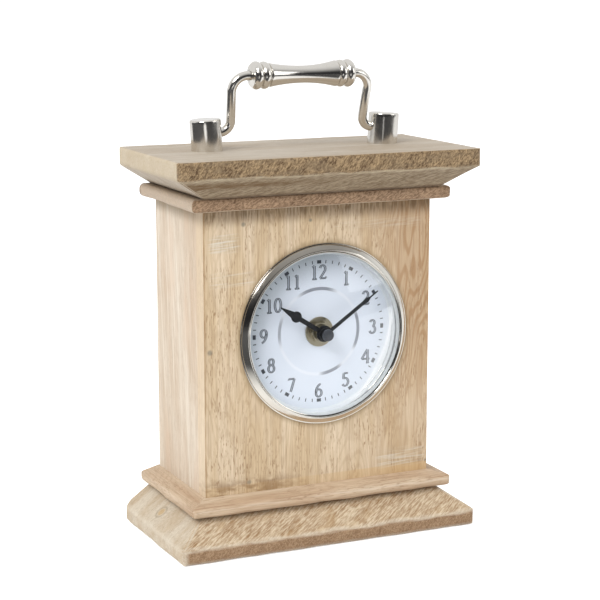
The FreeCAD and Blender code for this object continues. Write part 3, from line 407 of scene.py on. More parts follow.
def bezel_nickel():
    """The bezel's plating. The brown of the wood mirrored in its upper left arc is painted on."""
    metal = Finish("bezel_nickel")
    x, z = metal.axis("X") - dial_axis.x * 1000, metal.axis("Z") - dial_axis.z * 1000
    # painted reflection: the wood mirrored in the bezel's upper left arc, painted brown into its
    # colour
    painted_wood_reflection = (z * 0.9 - x * 0.44).rise(20, 44)
    cloud = metal.grain(4, 7, UPRIGHT, 4).rise(0.4, 0.75)
    tone = metal.mixed(cloud * 0.2, (0.74, 0.715, 0.66, 1), (0.64, 0.60, 0.53, 1))
    tone = metal.mixed(painted_wood_reflection * 0.75, tone, (0.30, 0.27, 0.23, 1))
    return metal.close(Base_Color=tone, Metallic=1.0, Roughness=0.1 + cloud * 0.05,
                       Normal=metal.bump(metal.grain(3, 6, UPRIGHT, 2), 0.06, 0.2 * MM))


def plain_metal(name, tint, roughness):
    """Bare metal with grime in its hollows."""
    metal = Finish(name)
    grime = metal.grain(1.2, 2.4, UPRIGHT, 4).rise(0.4, 0.75)
    tone = metal.mixed(grime * 0.4, tint, (tint[0] * 0.55, tint[1] * 0.52, tint[2] * 0.5, 1))
    return metal.close(Base_Color=tone, Metallic=1.0, Roughness=roughness + grime * 0.15)


def paint(name, tint, roughness, mottle=0.08, bump=0.05):
    """Paint or moulded plastic with a fine uneven skin."""
    coat = Finish(name)
    skin = coat.grain(0.5, 0.6, UPRIGHT, 3)
    broad = coat.grain(11, 16, UPRIGHT, 3).rise(0.3, 0.7)
    darker = (tint[0] * (1 - mottle), tint[1] * (1 - mottle), tint[2] * (1 - mottle), 1)
    return coat.close(Base_Color=coat.mixed(broad, darker, tint), Roughness=roughness + skin * 0.1,
                      Normal=coat.bump(skin, bump, 0.05 * MM))


def dial_paint():
    """Cool white dial paint, greyer towards its rim and where shade is painted upper left."""
    coat = Finish("dial_white_paint")
    x, z = coat.axis("X"), coat.axis("Z")
    away = ((x - dial_axis.x * 1000) ** 2 + (z - dial_axis.z * 1000) ** 2) ** 0.5
    tone = coat.mixed(away.rise(38, 46) * 0.35, colour(218, 224, 234), colour(205, 211, 217))
    shade = away.rise(24, 45) * ((z - dial_axis.z * 1000) - (x - dial_axis.x * 1000)).rise(8, 52)
    tone = coat.mixed(shade * 0.7, tone, colour(146, 154, 156))
    skin = coat.grain(0.4, 0.5, UPRIGHT, 2)
    return coat.close(Base_Color=tone, Roughness=0.5 + skin * 0.1,
                      Normal=coat.bump(skin, 0.03, 0.05 * MM))


def ring_print():
    """The printed dial ring, whose grey comes and goes round the dial."""
    ink = Finish("dial_ring_print")
    x, z = ink.axis("X"), ink.axis("Z")
    settings = {"operation": "ARCTAN2"}
    turn = ink.node("ShaderNodeMath", settings, {0: x - dial_axis.x * 1000,
                                                 1: z - dial_axis.z * 1000})
    hour = turn * (6 / math.pi)
    strong = hour.within(-1.4, 1.2, 0.9) + hour.within(1.9, 4.2, 0.6) + hour.within(4.6, 6.2, 0.6)
    strong = strong + hour.within(-3.9, -1.8, 0.9) * 0.8
    tone = ink.mixed(strong.rise(0, 1.3), colour(226, 230, 238), colour(120, 124, 134))
    return ink.close(Base_Color=tone, Roughness=0.45)


def glass():
    """Clear glass: what is behind shows through and only its gloss is added."""
    clear = Finish("dial_glass")
    through = clear.node("ShaderNodeBsdfTransparent", {}, {"Color": (0.985, 0.99, 0.993, 1)})
    smear = clear.grain(14, 20, (0, math.radians(30), 0), 3).rise(0.45, 0.75)
    gloss = clear.node("ShaderNodeBsdfPrincipled", {}, {"Base Color": (1, 1, 1, 1),
                       "Metallic": 1.0, "Roughness": 0.03 + smear * 0.05}, "BSDF")
    facing = clear.node("ShaderNodeFresnel", {}, {"IOR": 1.42})
    blended = clear.node("ShaderNodeMixShader", {}, {0: facing * 0.7, 1: through, 2: gloss})
    return clear.surface(blended)


finishes = {
    "front": front_wood(),
    "side": side_wood(),
    "cap": cap_wood(),
    "base": base_wood(),
    "moulding": moulding_wood(),
    "fibre": fibreboard(),
    "nickel": plated("handle_nickel", (0.74, 0.715, 0.67, 1), 0.13, 0.05),
    "bezel": bezel_nickel(),
    "steel": plain_metal("screw_steel", (0.55, 0.53, 0.50, 1), 0.35),
    "pin": plain_metal("pin_steel", (0.32, 0.30, 0.28, 1), 0.45),
    "brass": plated("turned_brass", (0.46, 0.41, 0.30, 1), 0.3, 0.08),
    "cup": paint("insert_cup_white", colour(226, 230, 232), 0.35),
    "dial": dial_paint(),
    "ring": ring_print(),
    "ink": paint("dial_ink", colour(58, 62, 70), 0.5),
    "inline": paint("numeral_inline_ink", colour(164, 170, 180), 0.5),
    "hand": paint("hand_black", colour(26, 27, 30), 0.35),
    "hub": paint("hand_cap_grey", colour(58, 60, 66), 0.3),
    "black": paint("movement_black_plastic", colour(32, 33, 35), 0.5, 0.2, 0.2),
    "white_plastic": paint("wheel_white_plastic", colour(228, 226, 216), 0.4),
    "rubber": paint("band_rubber", colour(190, 188, 182), 0.75),
    "black_rubber": paint("washer_black_rubber", colour(28, 28, 28), 0.8),
    "jacket": paint("battery_jacket", colour(38, 62, 98), 0.3),
    "glass": glass(),
}

node_finishes = {
    "front": ["front_board"],
    "side": ["left_side_board", "right_side_board", "top_rail"],
    "cap": ["cap_board"],
    "base": ["base_board"],
    "moulding": ["bottom_moulding", "top_moulding"],
    "fibre": ["back_board"],
    "steel": ["base_screws", "top_moulding_screws", "cap_screws", "back_board_screws",
              "handle_screws", "negative_contact", "positive_contact", "reverser_stud"],
    "pin": ["front_board_pins"],
    "brass": ["fixing_washer", "mounting_bushing", "fixing_nut", "minute_arbor"],
    "cup": ["insert_cup"],
    "dial": ["dial_plate"],
    "hand": ["hour_hand", "minute_hand"],
    "hub": ["hand_cap"],
    "black": ["movement_case", "movement_cover", "set_knob"],
    "white_plastic": ["hour_wheel", "reverser_wheel"],
    "rubber": ["insert_band"],
    "black_rubber": ["rubber_washer"],
    "jacket": ["battery"],
    "nickel": ["handle_post_left", "handle_post_right", "bail_leg_left", "bail_leg_right",
               "handle_grip"],
    "bezel": ["bezel"],
    "glass": ["crystal"],
}

for finish_name, carried in node_finishes.items():
    for node_name in carried:
        slots = nodes[node_name].data.materials
        slots.clear()
        slots.append(finishes[finish_name])


# ------------------------------------------------------------------ piece making

def piece(name, mesh, body, finish, smooth=True, replaced=()):
    """Makes a finished mesh a piece of the clock that rides on one body."""
    bmesh.ops.remove_doubles(mesh, verts=mesh.verts, dist=0.002 * MM)
    bmesh.ops.recalc_face_normals(mesh, faces=mesh.faces)
    for face in mesh.faces:
        face.smooth = smooth
    data = bpy.data.meshes.new(name)
    mesh.to_mesh(data)
    mesh.free()
    if smooth:
        data.set_sharp_from_angle(angle=math.radians(40))
    data.materials.append(finishes[finish])
    made = bpy.data.objects.new(name, data)
    bpy.context.scene.collection.objects.link(made)
    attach(made, body)
    if replaced:
        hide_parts(*replaced)
    return made


def bend(centre, radius, start, end, steps=8):
    """Points along an arc of an outline, angles in degrees."""
    turns = [math.radians(start + (end - start) * step / steps) for step in range(steps + 1)]
    return [(centre[0] + radius * math.cos(turn), centre[1] + radius * math.sin(turn))
            for turn in turns]


def spun(outline, closed, steps=128):
    """Turns an outline of (radius, height) in millimetres about +Z into a bmesh."""
    mesh = bmesh.new()
    spots = [mesh.verts.new((radius * MM, 0, height * MM)) for radius, height in outline]
    pairs = list(zip(spots, spots[1:])) + ([(spots[-1], spots[0])] if closed else [])
    edges = [mesh.edges.new(pair) for pair in pairs]
    bmesh.ops.spin(mesh, geom=spots + edges, cent=(0, 0, 0), axis=(0, 0, 1), dvec=(0, 0, 0),
                   angle=math.tau, steps=steps, use_merge=True)
    return mesh


FORWARD = Matrix.Rotation(math.radians(90), 4, "X")


def on_dial(mesh, y=wood_front):
    """Stands a mesh made about +Z on the dial's axis, its height running forwards."""
    spot = Matrix.Translation((dial_axis.x, y, dial_axis.z))
    bmesh.ops.transform(mesh, matrix=spot @ FORWARD, verts=mesh.verts)
    return mesh


# ---------------------------------------------------------------- the worn boards

def flat_side(normal, *spot):
    """A flat side of a board: its outward normal, and a place on it in millimetres."""
    return Vector(normal).normalized(), Vector(spot) * MM


def worn_board(name, node, finish, arrises):
    """A board with its arrises rubbed round, more in some places than in others.

    An arris is two sides and the reach in millimetres over which it is rubbed.
    """
    mesh = bmesh.new()
    mesh.from_mesh(nodes[node].data)
    bmesh.ops.remove_doubles(mesh, verts=mesh.verts, dist=0.002 * MM)

    def slice_at(spot, normal):
        everything = mesh.verts[:] + mesh.edges[:] + mesh.faces[:]
        bmesh.ops.bisect_plane(mesh, geom=everything, plane_co=spot, plane_no=normal)

    depths = {}
    for first, second, reach in arrises:
        for normal, spot in (first, second):
            depths[tuple(normal)] = (normal, spot, max(reach, depths.get(tuple(normal), (0, 0, 0))[2]))
    for normal, spot, reach in depths.values():
        for part in (0.12, 0.3, 0.5, 0.75, 1.0, 1.35):
            slice_at(spot - normal * reach * part * MM, normal)
    low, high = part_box(node)
    for step in range(1, 20):
        slice_at(low.lerp(high, step / 20), (1, 0, 0))
        slice_at(low.lerp(high, step / 20), (0, 1, 0))
    for vert in mesh.verts:
        for (normal_a, spot_a), (normal_b, spot_b), reach in arrises:
            wear = reach * MM * (0.95 + 0.5 * noise.noise(vert.co * 60))
            gaps = Vector((wear - (spot_a - vert.co).dot(normal_a),
                           wear - (spot_b - vert.co).dot(normal_b)))
            if min(gaps) > 0 and gaps.length > wear:
                pull = 1 - wear / gaps.length
                vert.co -= normal_a * gaps.x * pull + normal_b * gaps.y * pull
    piece(name, mesh, "case", finish, replaced=[node])


def moulding(name, node):
    """A rounded moulding: its top arris eased and its nose rubbed round beneath."""
    low, high = [corner * 1000 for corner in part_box(node)]
    left, right = flat_side((-1, 0, 0), low.x, 0, 0), flat_side((1, 0, 0), high.x, 0, 0)
    front = flat_side((0, -1, 0), 0, low.y, 0)
    top, under = flat_side((0, 0, 1), 0, 0, high.z), flat_side((0, 0, -1), 0, 0, low.z)
    arrises = [(left, front, 2.6), (right, front, 2.6)]
    arrises += [(top, edge, 2.2) for edge in (left, front, right)]
    arrises += [(under, edge, 3.6) for edge in (left, front, right)]
    worn_board(name, node, "moulding", arrises)


BASE_EDGE, BASE_SLOPE = 8.8, 18.3
CAP_EDGE, CAP_SIDE_SLOPE, CAP_FRONT_SLOPE = 9.6, 19.3, 11.9


def bevelled_board(name, node, finish, flat_up, edge_z, side_slope, front_slope, reaches):
    """The base or the cap: a plain edge, and slopes from it towards the mouldings."""
    low, high = [corner * 1000 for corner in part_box(node)]
    way = -1 if flat_up else 1
    rise = (high.z - edge_z) if way == 1 else (edge_z - low.z)
    flat_z = high.z if flat_up else low.z
    left, right = flat_side((-1, 0, 0), low.x, 0, 0), flat_side((1, 0, 0), high.x, 0, 0)
    front, back = flat_side((0, -1, 0), 0, low.y, 0), flat_side((0, 1, 0), 0, high.y, 0)
    flat = flat_side((0, 0, -way), 0, 0, flat_z)
    left_slope = flat_side((-rise, 0, way * side_slope), low.x, 0, edge_z)
    right_slope = flat_side((rise, 0, way * side_slope), high.x, 0, edge_z)
    front_slope = flat_side((0, -rise, way * front_slope), 0, low.y, edge_z)
    corner, arris, crease = reaches
    arrises = [(left, front, corner), (right, front, corner), (left, back, corner),
               (right, back, corner)]
    arrises += [(flat, edge, arris) for edge in (left, front, right, back)]
    arrises += [(left, left_slope, crease), (right, right_slope, crease),
                (front, front_slope, crease), (left_slope, front_slope, crease),
                (right_slope, front_slope, crease)]
    worn_board(name, node, finish, arrises)


# --------------------------------------------------------------- the clock insert

def bezel():
    """The nickel ring: a thin flange, a wide sloping crown and a thin lip on the glass."""
    outline = [(49.5, 0), (51.2, 0)] + bend((51.0, 0.45), 0.45, -60, 90, 5)
    outline += [(50.75, 0.9)]
    outline += bend((50.0, 1.1), 0.7, 0, 50, 4)
    outline += [(49.5, 2.2), (48.6, 2.95), (47.9, 3.35)]
    outline += bend((47.5, 2.95), 0.55, 60, 150, 6)
    outline += [(46.8, 2.75), (46.5, 2.9), (46.2, 2.8), (46.2, 2.5), (47.2, 2.5), (47.2, 0.9),
                (49.5, 0.9)]
    piece("bezel_ring", on_dial(spun(outline, True, 160)), "case", "bezel",
          replaced=["bezel"])


def crystal():
    """The domed glass, an even skin from its apex out to its seat."""
    flat, rise, thick = 46.0, 7.5, 1.6
    dome = (flat * flat + rise * rise) / (2 * rise)
    reach = math.degrees(math.asin(flat / dome))
    outer = bend((0, 2.5 + rise - dome), dome, 90, 90 - reach, 28)
    inner = bend((0, 2.5 + rise - dome - thick), dome, 90 - reach, 90, 28)
    outline = outer + [(47.1, 2.5), (47.1, 0.9)] + inner
    outline[0] = (0, outline[0][1])
    outline[-1] = (0, outline[-1][1])
    dome_piece = piece("dial_crystal", on_dial(spun(outline, False, 128)), "case",
                       "glass", replaced=["crystal"])
    dome_piece.visible_shadow = False


def insert_cup():
    """The white cup behind the bezel, its inner wall rounded into the dial."""
    bottom = (wood_front - dial_face) * 1000
    outline = [(4.2, bottom - 0.6), (4.2, bottom - 1.8), (46, bottom - 1.8), (46, 0), (49.4, 0),
               (49.4, 0.8), (45.6, 0.8), (45, 0.5), (45, bottom + 0.9)]
    outline += bend((44.2, bottom + 0.75), 0.8, 0, -60, 4) + [(43.6, bottom - 0.6)]
    piece("insert_cup_shell", on_dial(spun(outline, True, 128)), "case", "cup",
          replaced=["insert_cup"])


def hand_cap():
    """The turned cap on the minute arbor: a rim, a groove and a slightly domed face."""
    low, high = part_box("hand_cap")
    depth = (high.y - low.y) * 1000
    front = (wood_front - low.y) * 1000
    back = front - depth
    outline = [(0, back), (1.7, back), (1.7, back + 1.75), (3.3, back + 1.75),
               (3.3, front - 0.7)] + bend((2.7, front - 0.6), 0.6, 0, 80, 5)
    outline += [(1.4, front), (0, front)]
    piece("hand_cap_turned", on_dial(spun(outline, False, 64)), "minute_hand_group",
          "hub", replaced=["hand_cap"])


# ------------------------------------------------------------------- dial print

PRINT_LIFT = 0.04 * MM
MARKER_CIRCLE = 39.7
RING_RADII = (23.6, 25.4)
NUMERAL_CIRCLE, NUMERAL_TALL = 33.9, 8.2


def on_print(mesh, layer=1):
    """Lays a flat print, made in the XY plane in millimetres, on the dial's face."""
    bmesh.ops.scale(mesh, vec=(MM, MM, MM), verts=mesh.verts)
    return on_dial(mesh, dial_face - PRINT_LIFT * layer)


def markers():
    """Twelve square hour markers and the short minute strokes between them."""
    mesh = bmesh.new()
    for minute in range(60):
        hourly = minute % 5 == 0
        wide, tall = (2.6, 1.9) if hourly else (0.55, 1.85)
        turn = Matrix.Rotation(-math.tau * minute / 60, 4, "Z")
        spot = turn @ Matrix.Translation((0, MARKER_CIRCLE, 0)) @ Matrix.Diagonal((wide, tall, 1, 1))
        bmesh.ops.create_grid(mesh, x_segments=1, y_segments=1, size=0.5, matrix=spot)
    piece("minute_markers", on_print(mesh), "case", "ink", smooth=False)


def dial_ring():
    """The printed ring between the hands' hub and the numerals."""
    mesh = bmesh.new()
    inner = bmesh.ops.create_circle(mesh, segments=96, radius=RING_RADII[0])["verts"]
    outer = bmesh.ops.create_circle(mesh, segments=96, radius=RING_RADII[1])["verts"]
    edges = {edge for spot in inner + outer for edge in spot.link_edges}
    bmesh.ops.bridge_loops(mesh, edges=list(edges))
    piece("dial_ring", on_print(mesh), "case", "ring", smooth=False)


def arc(centre_x, centre_y, wide, tall, start, end, steps=20):
    """A stroke along an ellipse, angles in degrees, in a figure's own square."""
    turns = [math.radians(start + (end - start) * step / steps) for step in range(steps + 1)]
    return [Vector((centre_x + wide * math.cos(turn), centre_y + tall * math.sin(turn)))
            for turn in turns]


def line(*spots):
    return [Vector(spot) for spot in spots]


FIGURES = {
    "0": [arc(0.29, 0.5, 0.22, 0.46, 90, -270, 36)],
    "1": [line((0.30, 0.04), (0.30, 0.95)), line((0.30, 0.95), (0.14, 0.84)),
          line((0.12, 0.03), (0.48, 0.03))],
    "2": [arc(0.27, 0.70, 0.20, 0.25, 165, -25, 24) + line((0.30, 0.36), (0.07, 0.05)),
          line((0.07, 0.05), (0.50, 0.05), (0.52, 0.16))],
    "3": [arc(0.26, 0.74, 0.17, 0.21, 160, -90, 24), arc(0.26, 0.28, 0.22, 0.25, 90, -160, 28)],
    "4": [line((0.44, 0.96), (0.0, 0.30)), line((0.0, 0.30), (0.62, 0.30)),
          line((0.46, 0.96), (0.46, 0.04)), line((0.34, 0.03), (0.58, 0.03))],
    "5": [line((0.14, 0.94), (0.46, 0.94)), line((0.14, 0.94), (0.11, 0.54)),
          arc(0.24, 0.32, 0.23, 0.28, 125, -150, 28)],
    "6": [arc(0.28, 0.29, 0.21, 0.26, 90, -270, 30), arc(0.54, 0.32, 0.47, 0.62, 104, 182, 14)],
    "7": [line((0.07, 0.84), (0.08, 0.93), (0.50, 0.93)), line((0.50, 0.93), (0.22, 0.03))],
    "8": [arc(0.28, 0.74, 0.17, 0.21, 90, -270, 28), arc(0.28, 0.28, 0.21, 0.25, 90, -270, 30)],
    "9": [arc(0.28, 0.69, 0.21, 0.26, 90, -270, 30), arc(0.02, 0.66, 0.47, 0.62, -76, 2, 14)],
}


def stroke(mesh, spots, thick, thin, spot, size):
    """Draws one stroke with an oval nib: thick where it runs upright, thin where level."""
    pair = None
    for index, point in enumerate(spots):
        ahead = spots[min(index + 1, len(spots) - 1)] - spots[max(index - 1, 0)]
        aside = Vector((-ahead.y, ahead.x)).normalized()
        half = math.hypot(thick * aside.x, thin * aside.y)
        ends = [(point + aside * half * way) * size + spot for way in (-1, 1)]
        if pair is None:
            pair = [mesh.verts.new((*end, 0)) for end in ends]
            edge = mesh.edges.new(pair)
            continue
        grown = bmesh.ops.extrude_edge_only(mesh, edges=[edge])["geom"]
        edge = next(item for item in grown if isinstance(item, bmesh.types.BMEdge))
        if not set(edge.verts).isdisjoint(pair):
            edge = next(item for item in grown if isinstance(item, bmesh.types.BMEdge)
                        and set(item.verts).isdisjoint(pair))
        pair = [next(link.other_vert(old) for link in old.link_edges
                     if link.other_vert(old) in edge.verts) for old in pair]
        for vert, end in zip(pair, ends):
            vert.co = (*end, 0)


def numerals(name, thick, thin, finish, layer):
    """The hours 1 to 12, upright, on their circle."""
    mesh = bmesh.new()
    tall = NUMERAL_TALL
    pitch = 0.64 * tall
    for hour in range(1, 13):
        turn = math.tau * hour / 12
        middle = NUMERAL_CIRCLE * Vector((math.sin(turn), math.cos(turn)))
        digits = str(hour)
        if len(digits) == 2:
            # pairs of figures stand a little closer in, so that they clear the minute strokes
            middle = Vector((middle.x * 0.94 - 0.3, middle.y))
        for index, digit in enumerate(digits):
            shift = (index - (len(digits) - 1) / 2) * pitch
            corner = middle + Vector((shift - 0.29 * tall, -0.5 * tall))
            for spots in FIGURES[digit]:
                stroke(mesh, spots, thick, thin, corner, tall)
    piece(name, on_print(mesh, layer), "case", finish, smooth=False)


# --------------------------------------------------------------------- the handle

POST_X = 54.2
POST_RADIUS, POST_HEIGHT, POST_LEAN = 8.7, 17.5, 3.5
WIRE = 2.6
BAIL_HEIGHT, BAIL_TILT = 32.0, 13.0
LEG_X, LEG_LEAN = 40.6, 3.2
LOWER_BEND, UPPER_BEND = 6.6, 8.6
GRIP_HALF, GRIP_WAIST, GRIP_BEAD = 30.7, 4.85, 7.7
LEFT_RIM, RIGHT_RIM = 6.7, 7.3


def handle_post(name, side, node):
    """A turned post with a softly rounded top, cut flat where it stands on the cap."""
    rim = 1.1
    outline = [(0, -2), (POST_RADIUS, -2), (POST_RADIUS, POST_HEIGHT - rim - 1.5)]
    outline += bend((POST_RADIUS - rim, POST_HEIGHT - rim), rim, 0, 90, 8)
    outline += [(POST_RADIUS - 2.2, POST_HEIGHT + 0.02), (0, POST_HEIGHT + 0.05)]
    mesh = spun(outline, False, 96)
    lean = Matrix.Rotation(math.radians(POST_LEAN) * side, 4, "Y")
    spot = Matrix.Translation((side * POST_X * MM, hinge.y, cap_top))
    bmesh.ops.transform(mesh, matrix=spot @ lean, verts=mesh.verts)
    everything = mesh.verts[:] + mesh.edges[:] + mesh.faces[:]
    cut = bmesh.ops.bisect_plane(mesh, geom=everything, plane_co=(0, 0, cap_top),
                                 plane_no=(0, 0, -1), clear_outer=True)
    rim_edges = [item for item in cut["geom_cut"] if isinstance(item, bmesh.types.BMEdge)]
    bmesh.ops.edgeloop_fill(mesh, edges=rim_edges)
    piece(name, mesh, "case", "nickel", replaced=[node])


def ring_only(items):
    """The points and edges that a spin ends in, without its faces."""
    return [item for item in items if not isinstance(item, bmesh.types.BMFace)]


def bail_leg(name, side, node):
    """One bent leg of round bar, from its pin in the post up to its tenon in the grip."""
    lean = math.radians(LEG_LEAN)
    out, up = math.sin(lean), math.cos(lean)
    foot = Vector((LEG_X, 0, LOWER_BEND + LOWER_BEND * out))
    low_centre = Vector((foot.x + LOWER_BEND * up, 0, LOWER_BEND))
    run = (BAIL_HEIGHT - UPPER_BEND - UPPER_BEND * out - foot.z) / up
    knee = foot + Vector((out, 0, up)) * run
    high_centre = knee + Vector((-up, 0, out)) * UPPER_BEND
    mesh = bmesh.new()
    start = Matrix.Translation((POST_X + 2, 0, 0)) @ Matrix.Rotation(math.radians(90), 4, "Y")
    bmesh.ops.create_circle(mesh, segments=40, radius=WIRE, matrix=start)
    ring = mesh.verts[:] + mesh.edges[:]

    def straight(ring, step):
        grown = bmesh.ops.extrude_edge_only(
            mesh, edges=[item for item in ring if isinstance(item, bmesh.types.BMEdge)])
        fresh = grown["geom"]
        bmesh.ops.translate(mesh, vec=step,
                            verts=[item for item in fresh if isinstance(item, bmesh.types.BMVert)])
        verts = [item for item in fresh if isinstance(item, bmesh.types.BMVert)]
        edges = [edge for edge in mesh.edges if all(vert in verts for vert in edge.verts)]
        return verts + edges

    def turned(ring, centre, angle):
        spun_ring = bmesh.ops.spin(mesh, geom=ring, cent=centre, axis=(0, 1, 0), dvec=(0, 0, 0),
                                   angle=angle, steps=14)
        return ring_only(spun_ring["geom_last"])

    ring = straight(ring, Vector((low_centre.x - POST_X - 2, 0, 0)))
    ring = turned(ring, low_centre, math.radians(90) - lean)
    ring = straight(ring, knee - foot)
    ring = turned(ring, high_centre, -(math.radians(90) + lean))
    straight(ring, Vector((GRIP_HALF - 6 - high_centre.x, 0, 0)))
    mirror = Matrix.Diagonal((side * MM, MM, MM, 1))
    tilt = Matrix.Rotation(math.radians(BAIL_TILT), 4, "X")
    bmesh.ops.transform(mesh, matrix=Matrix.Translation(hinge) @ tilt @ mirror, verts=mesh.verts)
    bmesh.ops.holes_fill(mesh, edges=mesh.edges[:])
    piece(name, mesh, "bail", "nickel", replaced=[node])


def swept(start, end, radius, steps):
    """Points of a shallow arc from start to end; a negative radius hollows it."""
    start, end = Vector(start), Vector(end)
    chord = end - start
    aside = Vector((-chord.y, chord.x)).normalized()
    depth = math.sqrt(radius * radius - chord.length ** 2 / 4)
    centre = (start + end) / 2 - aside * math.copysign(depth, radius)
    first = math.atan2(start.y - centre.y, start.x - centre.x)
    last = math.atan2(end.y - centre.y, end.x - centre.x)
    turn = (last - first + math.pi) % math.tau - math.pi
    return [(centre.x + abs(radius) * math.cos(first + turn * step / steps),
             centre.y + abs(radius) * math.sin(first + turn * step / steps))
            for step in range(steps + 1)]


def half_grip(rim):
    """The grip's outline from its waist out to one end, as (along, radius)."""
    flare = GRIP_HALF - 10.8
    drop = rim - GRIP_WAIST
    sweep = (flare * flare + drop * drop) / (2 * drop)
    end = GRIP_HALF
    outline = swept((0, GRIP_WAIST), (flare, rim), -sweep, 22)
    outline += [(flare + 0.35, rim - 0.02), (flare + 0.6, rim - 0.3), (flare + 0.75, rim - 0.8)]
    outline += [(end - 9.75, GRIP_BEAD - 1.5)]
    outline += swept((end - 9.6, GRIP_BEAD - 1.1), (end - 5.3, GRIP_BEAD - 1.1), 2.75, 12)
    outline += [(end - 5.2, GRIP_BEAD - 1.5)]
    outline += swept((end - 5.05, GRIP_BEAD - 1.1), (end - 0.6, GRIP_BEAD - 0.9), 2.75, 12)
    outline += [(end - 0.15, GRIP_BEAD - 1.3), (end, GRIP_BEAD - 1.8), (end, WIRE + 0.9),
                (end + 0.3, WIRE + 0.5), (end + 0.35, WIRE), (end - 6, WIRE), (end - 6, 0)]
    return outline


def handle_grip():
    """The turned grip, with a waisted barrel between two pairs of beads."""
    left = [(-along, radius) for along, radius in reversed(half_grip(LEFT_RIM))]
    outline = [(radius, along) for along, radius in left + half_grip(RIGHT_RIM)[1:]]
    mesh = spun(outline, False, 96)
    level = Matrix.Rotation(math.radians(90), 4, "Y")
    tilt = Matrix.Rotation(math.radians(BAIL_TILT), 4, "X")
    raised = Matrix.Translation((0, 0, BAIL_HEIGHT * MM))
    bmesh.ops.transform(mesh, matrix=Matrix.Translation(hinge) @ tilt @ raised @ level,
                        verts=mesh.verts)
    piece("handle_grip_turned", mesh, "bail", "nickel", replaced=["handle_grip"])


# ------------------------------------------------------------------ the making

bevelled_board("base_board_worn", "base_board", "base", False, BASE_EDGE, BASE_SLOPE, BASE_SLOPE,
               (5.0, 3.6, 1.2))
bevelled_board("cap_board_worn", "cap_board", "cap", True, cap_top * 1000 - CAP_EDGE,
               CAP_SIDE_SLOPE, CAP_FRONT_SLOPE, (4.4, 2.0, 1.2))
moulding("bottom_moulding_worn", "bottom_moulding")
moulding("top_moulding_worn", "top_moulding")
bezel()
crystal()
insert_cup()
hand_cap()
markers()
dial_ring()
numerals("hour_numerals", 0.092, 0.060, "ink", 1)
numerals("hour_numeral_inlines", 0.040, 0.014, "inline", 2)
handle_post("handle_post_left_turned", -1, "handle_post_left")
handle_post("handle_post_right_turned", 1, "handle_post_right")
bail_leg("bail_leg_left_bent", -1, "bail_leg_left")
bail_leg("bail_leg_right_bent", 1, "bail_leg_right")
handle_grip()


# -------------------------------------------------------------- camera and studio

def camera():
    """The photograph's own viewpoint."""
    data = bpy.data.cameras.new("camera")
    data.lens, data.sensor_width = 105.70, 36.0
    made = bpy.data.objects.new("camera", data)
    bpy.context.scene.collection.objects.link(made)
    made.location = (-0.414484, -0.896413, 0.320144)
    azimuth, elevation = math.radians(24.841), math.radians(10.776)
    ahead = Vector((math.sin(azimuth) * math.cos(elevation),
                    math.cos(azimuth) * math.cos(elevation), -math.sin(elevation)))
    made.rotation_mode = "QUATERNION"
    made.rotation_quaternion = ahead.to_track_quat("-Z", "Y")
    bpy.context.scene.camera = made


# the level direction from the clock towards the photograph's viewpoint
CAMERA_SIDE = Vector((-0.42, -0.907, 0))


def along(finish, direction):
    """How far a place lies along a direction, in metres."""
    settings = {"operation": "DOT_PRODUCT"}
    return finish.node("ShaderNodeVectorMath", settings, {0: finish.place, 1: direction}, "Value")


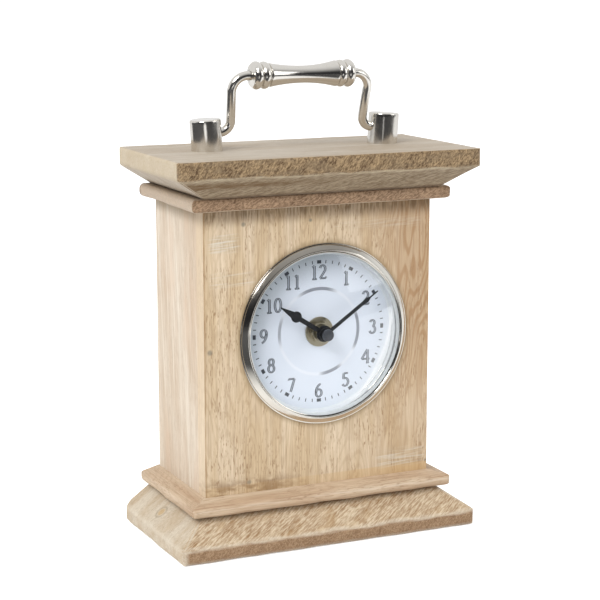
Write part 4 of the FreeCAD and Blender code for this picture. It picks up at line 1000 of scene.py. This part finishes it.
def floor():
    """A wide floor, plain white to the camera. Only reflections see its dark parts and window."""
    data = bpy.data.meshes.new("floor")
    mesh = bmesh.new()
    bmesh.ops.create_grid(mesh, x_segments=1, y_segments=1, size=12)
    mesh.to_mesh(data)
    mesh.free()
    white = Finish("floor_white")
    seen = white.node("ShaderNodeLightPath", out="Is Camera Ray")
    mirrored = white.node("ShaderNodeLightPath", out="Is Glossy Ray")
    left_edge = along(white, Vector((-0.75, -0.66, 0))).rise(0.10, 0.24)
    front_edge = along(white, Vector((0, -1, 0))).rise(1.02, 1.12)
    aside = Vector((-CAMERA_SIDE.y, CAMERA_SIDE.x, 0))
    window = along(white, aside).within(-0.34, 0.34, 0.2) * along(white, CAMERA_SIDE).rise(0.95, 1.0)
    dark = 1 - (1 - left_edge) * (1 - front_edge)
    tone = white.mixed(mirrored * dark * (1 - window), (0.95, 0.95, 0.95, 1), (0.035, 0.035, 0.037, 1))
    glow = white.mixed(seen, (0, 0, 0, 1), (0.45, 0.45, 0.45, 1))
    data.materials.append(white.close(Base_Color=tone, Roughness=0.9, Emission_Color=glow,
                                      Emission_Strength=1.0))
    made = bpy.data.objects.new("floor", data)
    bpy.context.scene.collection.objects.link(made)


def softbox(name, spot, aim, size, power):
    """A square soft light at a spot, turned towards its aim."""
    data = bpy.data.lights.new(name, "AREA")
    data.shape, data.size, data.energy = "SQUARE", size, power
    made = bpy.data.objects.new(name, data)
    bpy.context.scene.collection.objects.link(made)
    made.location = spot
    made.rotation_mode = "QUATERNION"
    made.rotation_quaternion = (Vector(aim) - Vector(spot)).to_track_quat("-Z", "Y")


def studio():
    """White surroundings to the camera. Only reflections see the dark side of the room."""
    room = Finish("studio", bpy.data.worlds, "ShaderNodeOutputWorld")
    bpy.context.scene.world = room.material
    room.place = room.node("ShaderNodeTexCoord", out="Generated")
    height = room.node("ShaderNodeSeparateXYZ", {}, {0: room.place}, "Z")
    mirrored = room.node("ShaderNodeLightPath", out="Is Glossy Ray")
    dim = along(room, Vector((-0.2, -0.98, 0))).rise(-0.1, 0.4) * height.rise(1.1, 0.2) * mirrored
    seen = room.node("ShaderNodeLightPath", out="Is Camera Ray")
    tone = room.mixed(dim, (1.0, 1.0, 1.0, 1), (0.03, 0.03, 0.033, 1))
    tone = room.mixed(seen, tone, (1.2, 1.2, 1.2, 1))
    room.surface(room.node("ShaderNodeBackground", {}, {"Color": tone, "Strength": 0.9}))
    softbox("key_light", (-1.3, -0.9, 1.5), (0, 0, 0.12), 0.9, 26)
    softbox("fill_light", (1.4, -1.2, 0.8), (0, 0, 0.12), 1.0, 6)
    bpy.context.scene.view_settings.view_transform = "Standard"


camera()
floor()
studio()
